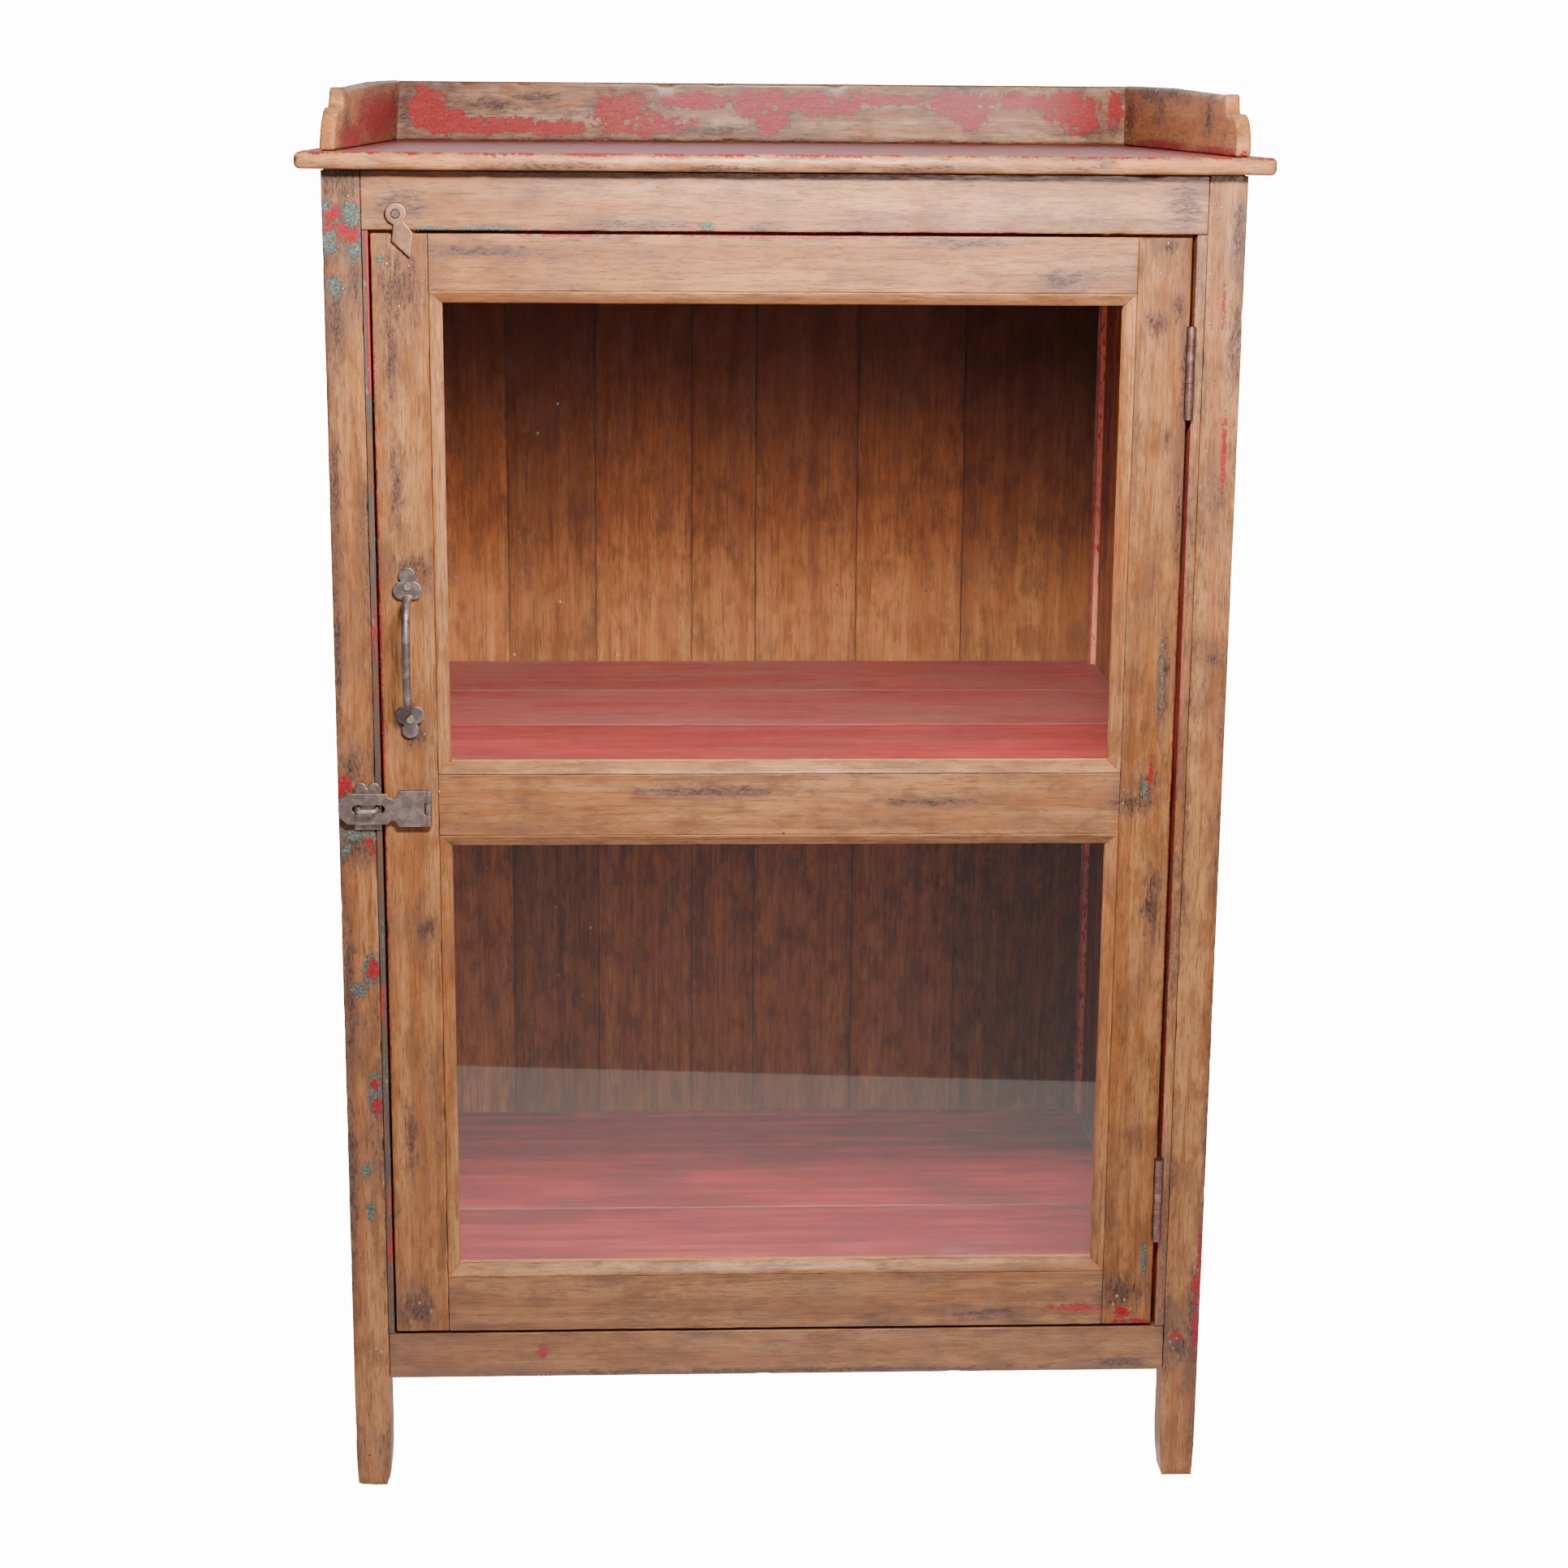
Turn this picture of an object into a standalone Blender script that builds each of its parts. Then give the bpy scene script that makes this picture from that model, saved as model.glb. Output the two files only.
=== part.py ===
"""Glazed one-door wooden cabinet with a gallery top.

Square posts run from the floor to the top board. Rails, side panels, tongued back boards, a shelf and
a floor of planks close the carcass. One framed door with two panes hangs on butt hinges at its right
edge. It is kept shut by a turn button on the top rail and by a hasp and staple at mid height.

The cabinet stands on Z = 0 and faces -Y. Lengths below are millimetres and the model is in metres.
"""

import math

import bmesh
import bpy
from mathutils import Matrix, Vector

MM = 0.001
GAP = 0.3

# Driving dimensions
WIDTH = 755.0
DEPTH = 594.0
CARCASS_HEIGHT = 1156.0
POST = 32.0
TOP_THICK = 15.0
TOP_OVERHANG = 20.0
GALLERY_HEIGHT = 58.0
GALLERY_THICK = 13.0
GALLERY_NOSE = (54.0, 50.0)
FOOT_TAPER = 7.0
FOOT_SHRINK = 0.82
HANDLE_REACH = 34.0

# The front face of the posts, placed so that the whole object is centred front to back
FRONT = (HANDLE_REACH - DEPTH) / 2
BACK = FRONT + DEPTH
SIDE = WIDTH / 2
POST_IN = SIDE - POST

# Frame members
RAIL_THICK = 22.0
TOP_RAIL_LOW = 1108.0
BOTTOM_RAIL_LOW = 104.0
BOTTOM_RAIL_HIGH = 146.5
PANEL_THICK = 9.0
PANEL_INSET = 5.0
PANEL_IN = POST_IN + PANEL_INSET
REAR_POST_FRONT = BACK - POST
BACK_BOARD_THICK = 10.0
BACK_INSET = 4.0
BACK_BOARD_FRONT = BACK - BACK_INSET - BACK_BOARD_THICK
BACK_BOARD_WIDTHS = (86.0, 90.0, 99.0, 66.0, 105.0, 110.0, 135.0)
BACK_BOARD_LOW = 100.0

# Inside
SHELF_TOP = 642.0
SHELF_THICK = 14.5
FLOOR_TOP = 147.0
FLOOR_THICK = 14.0
BEARER_WIDTH = 16.0
BEARER_HEIGHT = 20.0
SHELF_FRONT = FRONT + 34.0
SHELF_SEAMS = (FRONT + 264.0, FRONT + 426.0)
FLOOR_SEAMS = (FRONT + 297.0, FRONT + 562.0)

# Door
DOOR_THICK = 22.0
DOOR_LEFT = -SIDE + 38.7
DOOR_RIGHT = SIDE - 43.9
DOOR_LOW = 148.6
DOOR_HIGH = 1105.8
STILE_LEFT = 57.0
STILE_RIGHT = 55.0
MOULD = 10.5
MOULD_DEPTH = 8.0
REBATE = 6.5
REBATE_FRONT = FRONT + 9.0
GLASS_THICK = 3.0
MIDDLE_RAIL = (591.3, 665.0)
BOTTOM_RAIL_TOP = 209.8
TOP_RAIL_BOTTOM = 1049.5
PANE_LEFT = DOOR_LEFT + STILE_LEFT
PANE_RIGHT = DOOR_RIGHT - STILE_RIGHT
JAMB_LEFT = (-POST_IN, -POST_IN + 5.2)
JAMB_RIGHT = (POST_IN - 8.7, POST_IN)

# How far a cutter runs past the face that it cuts
PAST = 5.0

# Butt hinges, five knuckles each
HINGE_X = DOOR_RIGHT + 1.2
HINGE_Y = FRONT - 2.0
HINGE_LENGTH = 76.5
HINGE_CENTRES = (995.0, 267.0)
KNUCKLE_R = 3.5
KNUCKLES = 5
PIN_R = 1.5
LEAF_THICK = 1.6
LEAF_DEPTH = 20.0

# Pull handle
HANDLE_X = -SIDE + 63.0
HANDLE_TOP_Z = 816.5
HANDLE_LOW_Z = 703.5
HANDLE_ROD_R = 3.7
HANDLE_PLATE = 2.6
LOBE_LONG = (9.0, 7.2)
LOBE_SIDE = (4.7, 3.6, 7.6)

# Hasp and staple
HASP_Z = 626.6
HASP_LEFT = -SIDE + 0.8
HASP_AXIS_X = -SIDE + 77.0
HASP_AXIS_Y = FRONT - 3.8
HASP_BARREL_R = 3.0
HASP_PIN_R = 1.2
HASP_HEIGHT = 31.0
HASP_PLATE = 2.0
SLOT = (-SIDE + 12.6, -SIDE + 40.2)
SLOT_HEIGHT = 7.0
STAPLE_LEGS = (-SIDE + 18.0, -SIDE + 33.4)
STAPLE_R = 1.9
STAPLE_REACH = 16.5
STAPLE_PLATE_HALF = 11.5
STAPLE_PLATE_Z = (-19.0, 17.0)
STAPLE_LOBE = (5.6, 5.0)

# Turn button
BUTTON_X = -SIDE + 60.1
BUTTON_Z = 1121.3
BUTTON_THICK = 2.6
BUTTON_HEAD_R = 8.7
BUTTON_TILT = math.radians(17.4)
BUTTON_TAIL = [(-10.2, -19.5), (0.0, -37.2), (8.6, -19.3)]

TEAK = (0.47, 0.25, 0.12, 1.0)
RED = (0.52, 0.10, 0.09, 1.0)
STEEL = (0.16, 0.13, 0.125, 1.0)
CLEAR = (0.80, 0.84, 0.84, 1.0)

# Everything that swings with the door
DOOR_PIECES = [
    "door_left_stile",
    "door_right_stile",
    "door_bottom_rail",
    "door_middle_rail",
    "door_top_rail",
    "lower_glass",
    "upper_glass",
    "upper_hinge_door_leaf",
    "lower_hinge_door_leaf",
    "pull_handle",
    "handle_screw_upper",
    "handle_screw_lower",
    "hasp_leaf",
    "hasp_pin",
    "hasp_arm",
]

parts = bpy.data.collections.new("glazed_cabinet")
cutters = bpy.data.collections.new("cutters")


def clear_scene():
    for old in list(bpy.data.objects):
        bpy.data.objects.remove(old, do_unlink=True)
    bpy.context.scene.collection.children.link(parts)
    bpy.context.scene.collection.children.link(cutters)


def material(name, colour, roughness, metallic=0.0):
    found = bpy.data.materials.get(name)
    if found:
        return found
    made = bpy.data.materials.new(name)
    made.use_nodes = True
    shader = made.node_tree.nodes["Principled BSDF"]
    shader.inputs["Base Color"].default_value = colour
    shader.inputs["Roughness"].default_value = roughness
    shader.inputs["Metallic"].default_value = metallic
    return made


def wood():
    return material("teak", TEAK, 0.6)


def painted():
    return material("red_paint", RED, 0.55)


def steel():
    return material("aged_steel", STEEL, 0.45, 1.0)


def glass():
    return material("glass", CLEAR, 0.05)


def keep(obj, name, mat=None, cutter=False):
    """Names an object, gives it its material and puts it in the right collection."""
    obj.name = name
    obj.data.name = name
    for owner in list(obj.users_collection):
        owner.objects.unlink(obj)
    if cutter:
        cutters.objects.link(obj)
        obj.hide_render = True
        obj.display_type = "WIRE"
    else:
        parts.objects.link(obj)
        obj.data.materials.clear()
        obj.data.materials.append(mat)
    return obj


def add_bevel(obj, width, segments=2):
    bevel = obj.modifiers.new("edges", "BEVEL")
    bevel.width = width * MM
    bevel.segments = segments
    bevel.limit_method = "ANGLE"
    return obj


def block(name, x, y, z, mat=None, bevel=0.8, segments=2, shrink=GAP / 2, cutter=False):
    """A box between the given limits. Half the working gap comes off each side of a part."""
    if cutter:
        shrink = 0.0
    low = Vector((x[0] + shrink, y[0] + shrink, z[0] + shrink)) * MM
    high = Vector((x[1] - shrink, y[1] - shrink, z[1] - shrink)) * MM
    bpy.ops.mesh.primitive_cube_add(size=1.0)
    obj = bpy.context.object
    size = high - low
    obj.data.transform(Matrix.Diagonal((size.x, size.y, size.z, 1.0)))
    obj.location = (low + high) / 2
    keep(obj, name, mat, cutter)
    if bevel and not cutter:
        add_bevel(obj, bevel, segments)
    return obj


def rod(name, centre, radius, length, axis="Z", sides=20, mat=None, cutter=False, tip=None):
    """A cylinder, or a cone frustum when tip gives the radius of its far end."""
    bpy.ops.mesh.primitive_cone_add(
        vertices=sides,
        radius1=radius * MM,
        radius2=(radius if tip is None else tip) * MM,
        depth=length * MM,
    )
    obj = bpy.context.object
    turn = {"Z": Matrix.Identity(4), "X": Matrix.Rotation(math.pi / 2, 4, "Y")}
    turn["Y"] = Matrix.Rotation(math.pi / 2, 4, "X")
    obj.data.transform(turn[axis])
    obj.location = Vector(centre) * MM
    obj.data.shade_smooth()
    obj.data.set_sharp_from_angle(angle=math.radians(40))
    return keep(obj, name, mat, cutter)


def flat_outline(name, loops, thick, centre, mat=None, cutter=False):
    """A plate with the given outlines in its own XZ plane, thick along Y. Later loops are holes."""
    curve = bpy.data.curves.new(name, "CURVE")
    curve.dimensions = "2D"
    curve.fill_mode = "BOTH"
    curve.extrude = thick * MM / 2
    for loop in loops:
        spline = curve.splines.new("POLY")
        spline.points.add(len(loop) - 1)
        spline.use_cyclic_u = True
        for point, (u, w) in zip(spline.points, loop):
            point.co = (u * MM, w * MM, 0.0, 1.0)
    obj = bpy.data.objects.new(name, curve)
    obj.rotation_euler = (math.pi / 2, 0.0, 0.0)
    obj.location = Vector(centre) * MM
    bpy.context.scene.collection.objects.link(obj)
    return keep(curve_to_mesh(obj), name, mat, cutter)


def curve_to_mesh(obj):
    """Turns a curve object into a mesh object with welded caps."""
    bpy.context.view_layer.update()
    evaluated = obj.evaluated_get(bpy.context.evaluated_depsgraph_get())
    mesh = bpy.data.meshes.new_from_object(evaluated)
    mesh.transform(obj.matrix_world.to_3x3().to_4x4())
    work = bmesh.new()
    work.from_mesh(mesh)
    bmesh.ops.remove_doubles(work, verts=work.verts, dist=1e-6)
    bmesh.ops.recalc_face_normals(work, faces=work.faces)
    work.to_mesh(mesh)
    work.free()
    made = bpy.data.objects.new(obj.name, mesh)
    made.location = obj.matrix_world.translation
    bpy.context.scene.collection.objects.link(made)
    bpy.data.objects.remove(obj, do_unlink=True)
    return made


def combine(obj, other, how="DIFFERENCE"):
    mod = obj.modifiers.new(how.lower(), "BOOLEAN")
    mod.operation = how
    mod.solver = "EXACT"
    mod.object = other
    return obj


def arc(centre, radius, start, end, steps):
    """Points on an arc, angles in degrees, both ends included."""
    made = []
    for i in range(steps + 1):
        angle = math.radians(start + (end - start) * i / steps)
        made.append((centre[0] + radius * math.cos(angle), centre[1] + radius * math.sin(angle)))
    return made


def move_origin(obj, point):
    """Puts the origin of a moving piece on its joint axis without moving the piece."""
    target = Vector(point) * MM
    bpy.context.view_layer.update()
    obj.data.transform(Matrix.Translation(obj.location - target))
    obj.location = target


def hang_on(pivot_name, point, names):
    """Parents the named pieces to an empty on their joint axis."""
    pivot = bpy.data.objects.new(pivot_name, None)
    pivot.location = Vector(point) * MM
    parts.objects.link(pivot)
    for name in names:
        child = bpy.data.objects[name]
        child.parent = pivot
        child.location = child.location - pivot.location


def post_notch():
    """The corner spaces that planks leave for the rear posts."""
    made = []
    for side, sign in (("left", -1), ("right", 1)):
        x = sorted((sign * (POST_IN - GAP), sign * (SIDE + PAST)))
        y = (REAR_POST_FRONT - GAP, BACK + PAST)
        made.append(block("notch_rear_" + side, x, y, (0, CARCASS_HEIGHT), cutter=True))
        y = (FRONT - PAST, FRONT + POST + GAP)
        made.append(block("notch_front_" + side, x, y, (0, CARCASS_HEIGHT), cutter=True))
    return made


def build_posts():
    for side, sign in (("left", -1), ("right", 1)):
        x = sorted((sign * POST_IN, sign * SIDE))
        for end, y0 in (("front", FRONT), ("rear", REAR_POST_FRONT)):
            name = end + "_" + side + "_post"
            post = block(name, x, (y0, y0 + POST), (-GAP / 2, CARCASS_HEIGHT), wood(), bevel=0)
            taper_foot(post)
            add_bevel(post, 1.6)


def taper_foot(post):
    """Draws the last few millimetres of a post in, as a worn chamfered foot."""
    shape = bmesh.new()
    shape.from_mesh(post.data)
    foot = (CARCASS_HEIGHT / 2 - FOOT_TAPER) * MM
    cut = bmesh.ops.bisect_plane(
        shape,
        geom=shape.verts[:] + shape.edges[:] + shape.faces[:],
        plane_co=(0, 0, -foot),
        plane_no=(0, 0, 1),
    )
    assert cut["geom_cut"]
    for vert in shape.verts:
        if vert.co.z < -foot - 0.1 * MM:
            vert.co.x *= FOOT_SHRINK
            vert.co.y *= FOOT_SHRINK
    shape.to_mesh(post.data)
    shape.free()


def build_rails():
    inner = (-POST_IN, POST_IN)
    top_z = (TOP_RAIL_LOW, CARCASS_HEIGHT)
    low_z = (BOTTOM_RAIL_LOW, BOTTOM_RAIL_HIGH)
    top_rail = block("front_top_rail", inner, (FRONT, FRONT + RAIL_THICK), top_z, wood())
    pilot = (BUTTON_X, FRONT + 6.0, BUTTON_Z)
    combine(top_rail, rod("button_pilot", pilot, 2.1, 20.0, "Y", 12, cutter=True))
    block("front_bottom_rail", inner, (FRONT, FRONT + RAIL_THICK), low_z, wood())
    rear_y = (REAR_POST_FRONT, BACK_BOARD_FRONT)
    block("rear_top_rail", inner, rear_y, top_z, wood())
    block("rear_bottom_rail", inner, rear_y, (BOTTOM_RAIL_LOW, FLOOR_TOP - FLOOR_THICK), wood())
    side_y = (FRONT + POST, REAR_POST_FRONT)
    for side, sign in (("left", -1), ("right", 1)):
        x = sorted((sign * PANEL_IN, sign * (PANEL_IN + RAIL_THICK)))
        block(side + "_top_rail", x, side_y, top_z, wood())
        block(side + "_bottom_rail", x, side_y, low_z, wood())
        x = sorted((sign * PANEL_IN, sign * (PANEL_IN + PANEL_THICK)))
        block(side + "_panel", x, side_y, (BOTTOM_RAIL_HIGH, TOP_RAIL_LOW), wood(), 0.4, 1)


def build_jambs():
    z = (BOTTOM_RAIL_HIGH, TOP_RAIL_LOW)
    y = (FRONT, FRONT + DOOR_THICK)
    block("left_jamb_strip", JAMB_LEFT, y, z, painted(), 0.5, 1)
    strip = block("right_jamb_strip", JAMB_RIGHT, y, z, painted(), 0.5, 1)
    for i, centre in enumerate(HINGE_CENTRES):
        combine(strip, barrel_room("jamb_room_%d" % i, centre))


def barrel_room(name, centre_z):
    centre = (HINGE_X, HINGE_Y, centre_z)
    return rod(name, centre, KNUCKLE_R + 0.4, HINGE_LENGTH + 1.0, sides=20, cutter=True)


def build_back():
    x = -POST_IN
    y = (BACK_BOARD_FRONT, BACK_BOARD_FRONT + BACK_BOARD_THICK)
    for i, width in enumerate(BACK_BOARD_WIDTHS):
        last = i == len(BACK_BOARD_WIDTHS) - 1
        edge = POST_IN if last else x + width
        block("back_board_%d" % (i + 1), (x, edge), y, (BACK_BOARD_LOW, CARCASS_HEIGHT), wood(), 1.0, 1)
        x = edge


def build_planks():
    """The shelf and the floor, each of three planks on a bearer at either side."""
    notches = post_notch()
    full = (-PANEL_IN, PANEL_IN)
    rear = BACK_BOARD_FRONT
    shelf_z = (SHELF_TOP - SHELF_THICK, SHELF_TOP)
    floor_z = (FLOOR_TOP - FLOOR_THICK, FLOOR_TOP)
    places = ("front", "middle", "rear")
    shelf_lines = (SHELF_FRONT,) + SHELF_SEAMS + (rear,)
    floor_lines = (FRONT + RAIL_THICK,) + FLOOR_SEAMS + (rear,)
    for i, place in enumerate(places):
        shelf = block("shelf_plank_" + place, full, shelf_lines[i : i + 2], shelf_z, painted())
        floor = block("floor_plank_" + place, full, floor_lines[i : i + 2], floor_z, painted())
        if place == "rear":
            for cutter in (notches[0], notches[2]):
                combine(shelf, cutter)
                combine(floor, cutter)
        if place == "front":
            for cutter in (notches[1], notches[3]):
                combine(floor, cutter)
    for side, sign in (("left", -1), ("right", 1)):
        x = sorted((sign * PANEL_IN, sign * (PANEL_IN - BEARER_WIDTH)))
        y = (FRONT + POST + 4.0, REAR_POST_FRONT - 2.0)
        for kind, under in (("shelf", shelf_z[0]), ("floor", floor_z[0])):
            block(side + "_" + kind + "_bearer", x, y, (under - BEARER_HEIGHT, under), wood())


def build_top():
    x = (-SIDE - TOP_OVERHANG, SIDE + TOP_OVERHANG)
    z = (CARCASS_HEIGHT, CARCASS_HEIGHT + TOP_THICK)
    block("top_board", x, (FRONT - TOP_OVERHANG, BACK), z, wood(), 5.5, 4)


def gallery_side_outline(length):
    """Side view of a gallery end: rounded toe, ogee, a small nose, then a long rise to the back."""
    nose_y, nose_z = GALLERY_NOSE
    points = [(length, 0.0), (length, GALLERY_HEIGHT)]
    points += [(length * 0.6, 55.5), (length * 0.3, 51.0), (length * 0.17, 49.0)]
    points += [(nose_y + 14.0, 48.6)]
    points += arc((nose_y + 5.0, nose_z - 5.0), 5.0, 70.0, 180.0, 4)
    points += [(nose_y - 1.0, 38.0), (nose_y - 6.0, 34.0)]
    points += arc((26.0, 8.0), 26.0, 70.0, 180.0, 6)
    points += [(0.0, 0.0)]
    return points


def build_gallery():
    base = CARCASS_HEIGHT + TOP_THICK
    front = FRONT - 6.0
    rear = BACK - 1.0
    length = rear - GALLERY_THICK - front
    outline = gallery_side_outline(length)
    for side, sign in (("left", -1), ("right", 1)):
        x = sign * (SIDE - GALLERY_THICK / 2)
        name = "gallery_" + side
        board = flat_outline(name, [outline], GALLERY_THICK - GAP, (0, 0, 0), wood())
        board.data.transform(Matrix.Rotation(math.pi / 2, 4, "Z"))
        board.location = Vector((x, front, base + GAP / 2)) * MM
        add_bevel(board, 1.2)
    y = (rear - GALLERY_THICK, rear)
    block("gallery_back", (-SIDE, SIDE), y, (base, base + GALLERY_HEIGHT), wood(), 1.2)


def pane_cutters(name, z):
    """The moulded sight opening of one pane and the rebate behind it."""
    span = (PANE_LEFT, PANE_RIGHT)
    sight = block(name + "_sight", span, (FRONT - 2.0, FRONT + DOOR_THICK + PAST), z, cutter=True)
    grow = MOULD * (MOULD_DEPTH + 2.0) / MOULD_DEPTH
    flare = block(name + "_flare", span, (FRONT - 2.0, FRONT + MOULD_DEPTH), z, cutter=True)
    for vert in flare.data.vertices:
        if vert.co.y < 0:
            vert.co.x += math.copysign(grow * MM, vert.co.x)
            vert.co.z += math.copysign(grow * MM, vert.co.z)
    wide = (span[0] - REBATE, span[1] + REBATE)
    tall = (z[0] - REBATE, z[1] + REBATE)
    rebate = block(name + "_rebate", wide, (REBATE_FRONT, FRONT + DOOR_THICK + PAST), tall, cutter=True)
    return [sight, flare, rebate]


def build_door():
    y = (FRONT, FRONT + DOOR_THICK)
    lower = (BOTTOM_RAIL_TOP, MIDDLE_RAIL[0])
    upper = (MIDDLE_RAIL[1], TOP_RAIL_BOTTOM)
    cuts = pane_cutters("lower", lower) + pane_cutters("upper", upper)
    rails = {
        "door_bottom_rail": (DOOR_LOW, BOTTOM_RAIL_TOP),
        "door_middle_rail": MIDDLE_RAIL,
        "door_top_rail": (TOP_RAIL_BOTTOM, DOOR_HIGH),
    }
    shoulder = (PANE_LEFT - MOULD, PANE_RIGHT + MOULD)
    rooms = []
    for name, z in rails.items():
        rail = block(name, shoulder, y, z, wood(), 0.3, 1)
        for cutter in cuts:
            combine(rail, cutter)
        below = PAST if name == "door_bottom_rail" else GAP / 2
        above = PAST if name == "door_top_rail" else GAP / 2
        deep = (z[0] - below, z[1] + above)
        rooms.append(block(name + "_room", shoulder, (y[0] - PAST, y[1] + PAST), deep, cutter=True))
    left = block("door_left_stile", (DOOR_LEFT, PANE_LEFT), y, (DOOR_LOW, DOOR_HIGH), wood(), 1.0)
    right = block("door_right_stile", (PANE_RIGHT, DOOR_RIGHT), y, (DOOR_LOW, DOOR_HIGH), wood(), 1.0)
    for stile in (left, right):
        for cutter in cuts + rooms:
            combine(stile, cutter)
    for i, centre in enumerate(HINGE_CENTRES):
        combine(right, barrel_room("stile_room_%d" % i, centre))
        x = (DOOR_RIGHT - 1.4, DOOR_RIGHT + 1.0)
        z = (centre - HINGE_LENGTH / 2 - 0.4, centre + HINGE_LENGTH / 2 + 0.4)
        y_leaf = (FRONT - 1.0, FRONT + LEAF_DEPTH + 0.4)
        combine(right, block("leaf_room_%d" % i, x, y_leaf, z, cutter=True))
    for i, z in enumerate((HANDLE_TOP_Z, HANDLE_LOW_Z)):
        hole = rod("handle_pilot_%d" % i, (HANDLE_X, FRONT + 5.0, z), 2.1, 16.0, "Y", 12, cutter=True)
        combine(left, hole)
    for name, z in (("lower_glass", lower), ("upper_glass", upper)):
        wide = (PANE_LEFT - REBATE + 0.6, PANE_RIGHT + REBATE - 0.6)
        tall = (z[0] - REBATE + 0.6, z[1] + REBATE - 0.6)
        glass_y = (REBATE_FRONT, REBATE_FRONT + GLASS_THICK)
        block(name, wide, glass_y, tall, glass(), 0.0)


def build_hinges():
    step = HINGE_LENGTH / KNUCKLES
    for place, centre in zip(("upper", "lower"), HINGE_CENTRES):
        low = centre - HINGE_LENGTH / 2
        axis = (HINGE_X, HINGE_Y)
        for leaf, own, sign in (("frame", (0, 2, 4), 1), ("door", (1, 3), -1)):
            name = place + "_hinge_" + leaf + "_leaf"
            near = HINGE_X + sign * 0.2
            x = sorted((near, near + sign * LEAF_THICK))
            y = (HINGE_Y, FRONT + LEAF_DEPTH)
            plate = block(name, x, y, (low, low + HINGE_LENGTH), steel(), 0.0, shrink=0.05)
            for k in range(KNUCKLES):
                middle = (axis[0], axis[1], low + step * (k + 0.5))
                tag = "%s_%d" % (name, k)
                if k in own:
                    knuckle = rod(tag + "_knuckle", middle, KNUCKLE_R, step - GAP, cutter=True)
                    combine(plate, knuckle, "UNION")
                else:
                    combine(plate, rod(tag + "_room", middle, KNUCKLE_R + 0.35, step + GAP, cutter=True))
            bore = rod(name + "_bore", (axis[0], axis[1], centre), PIN_R + 0.3, HINGE_LENGTH + 4, cutter=True)
            combine(plate, bore)
        pin = rod(place + "_hinge_pin", (axis[0], axis[1], centre), PIN_R, HINGE_LENGTH + 1.0, mat=steel())
        pin.data.shade_smooth()


def trefoil(direction):
    """Outline of a three-lobed plate. Its long lobe points up or down from the screw."""
    out, long_radius = LOBE_LONG
    aside, back, radius = LOBE_SIDE
    lobes = [(0.0, out * direction, long_radius)]
    lobes += [(sign * aside, -back * direction, radius) for sign in (1, -1)]
    points = []
    for i in range(48):
        angle = 2 * math.pi * i / 48
        ray = Vector((math.cos(angle), math.sin(angle)))
        reach = 0.0
        for x, z, lobe in lobes:
            along = ray.x * x + ray.y * z
            across = x * x + z * z - along * along
            if across < lobe * lobe:
                reach = max(reach, along + math.sqrt(lobe * lobe - across))
        points.append((ray.x * reach, ray.y * reach))
    return points


def build_handle():
    middle = (HANDLE_TOP_Z + HANDLE_LOW_Z) / 2
    half = (HANDLE_TOP_Z - HANDLE_LOW_Z) / 2 - 11.5
    reach = HANDLE_REACH - HANDLE_ROD_R
    curve = bpy.data.curves.new("pull_handle", "CURVE")
    curve.dimensions = "3D"
    curve.bevel_depth = HANDLE_ROD_R * MM
    curve.bevel_resolution = 3
    curve.use_fill_caps = True
    spline = curve.splines.new("POLY")
    steps = 20
    spline.points.add(steps)
    for i in range(steps + 1):
        angle = math.pi * i / steps
        drop = math.copysign(abs(math.cos(angle)) ** 0.65, math.cos(angle))
        bow = math.sin(angle) ** 0.65 if 0 < i < steps else 0.0
        y = FRONT - 1.2 - (reach - 1.2) * bow
        spline.points[i].co = (HANDLE_X * MM, y * MM, (middle + half * drop) * MM, 1.0)
    bow_object = bpy.data.objects.new("pull_handle", curve)
    bpy.context.scene.collection.objects.link(bow_object)
    handle = keep(curve_to_mesh(bow_object), "pull_handle", steel())
    handle.data.shade_smooth()
    for place, z, direction in (("top", HANDLE_TOP_Z, 1), ("low", HANDLE_LOW_Z, -1)):
        at = (HANDLE_X, FRONT - GAP - HANDLE_PLATE / 2, z)
        plate = flat_outline("plate_" + place, [trefoil(direction)], HANDLE_PLATE, at, cutter=True)
        combine(handle, plate, "UNION")
        hole = rod("handle_hole_" + place, (at[0], at[1], z), 2.3, 12.0, "Y", 12, cutter=True)
        combine(handle, hole)
    for name, z in (("handle_screw_upper", HANDLE_TOP_Z), ("handle_screw_lower", HANDLE_LOW_Z)):
        build_screw(name, HANDLE_X, FRONT - GAP - HANDLE_PLATE - 0.2, z, 3.9, 10.0, 8.0)


def build_screw(name, x, y, z, head, length, slot_turn):
    """A slotted round-head screw whose head rests at y and whose shank runs back into the wood."""
    shank = rod(name, (x, y + length / 2 - 0.5, z), 1.7, length, "Y", 12, mat=steel())
    cap = rod(name + "_head", (x, y - 0.8, z), head, 1.6, "Y", 20, cutter=True, tip=head * 0.72)
    combine(shank, cap, "UNION")
    slot = block(name + "_slot", (-5, 5), (-0.45, 0.45), (-0.45, 0.45), cutter=True)
    slot.location = Vector((x, y - 1.5, z)) * MM
    slot.rotation_euler = (0.0, math.radians(90 - slot_turn), 0.0)
    combine(shank, slot)


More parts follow.
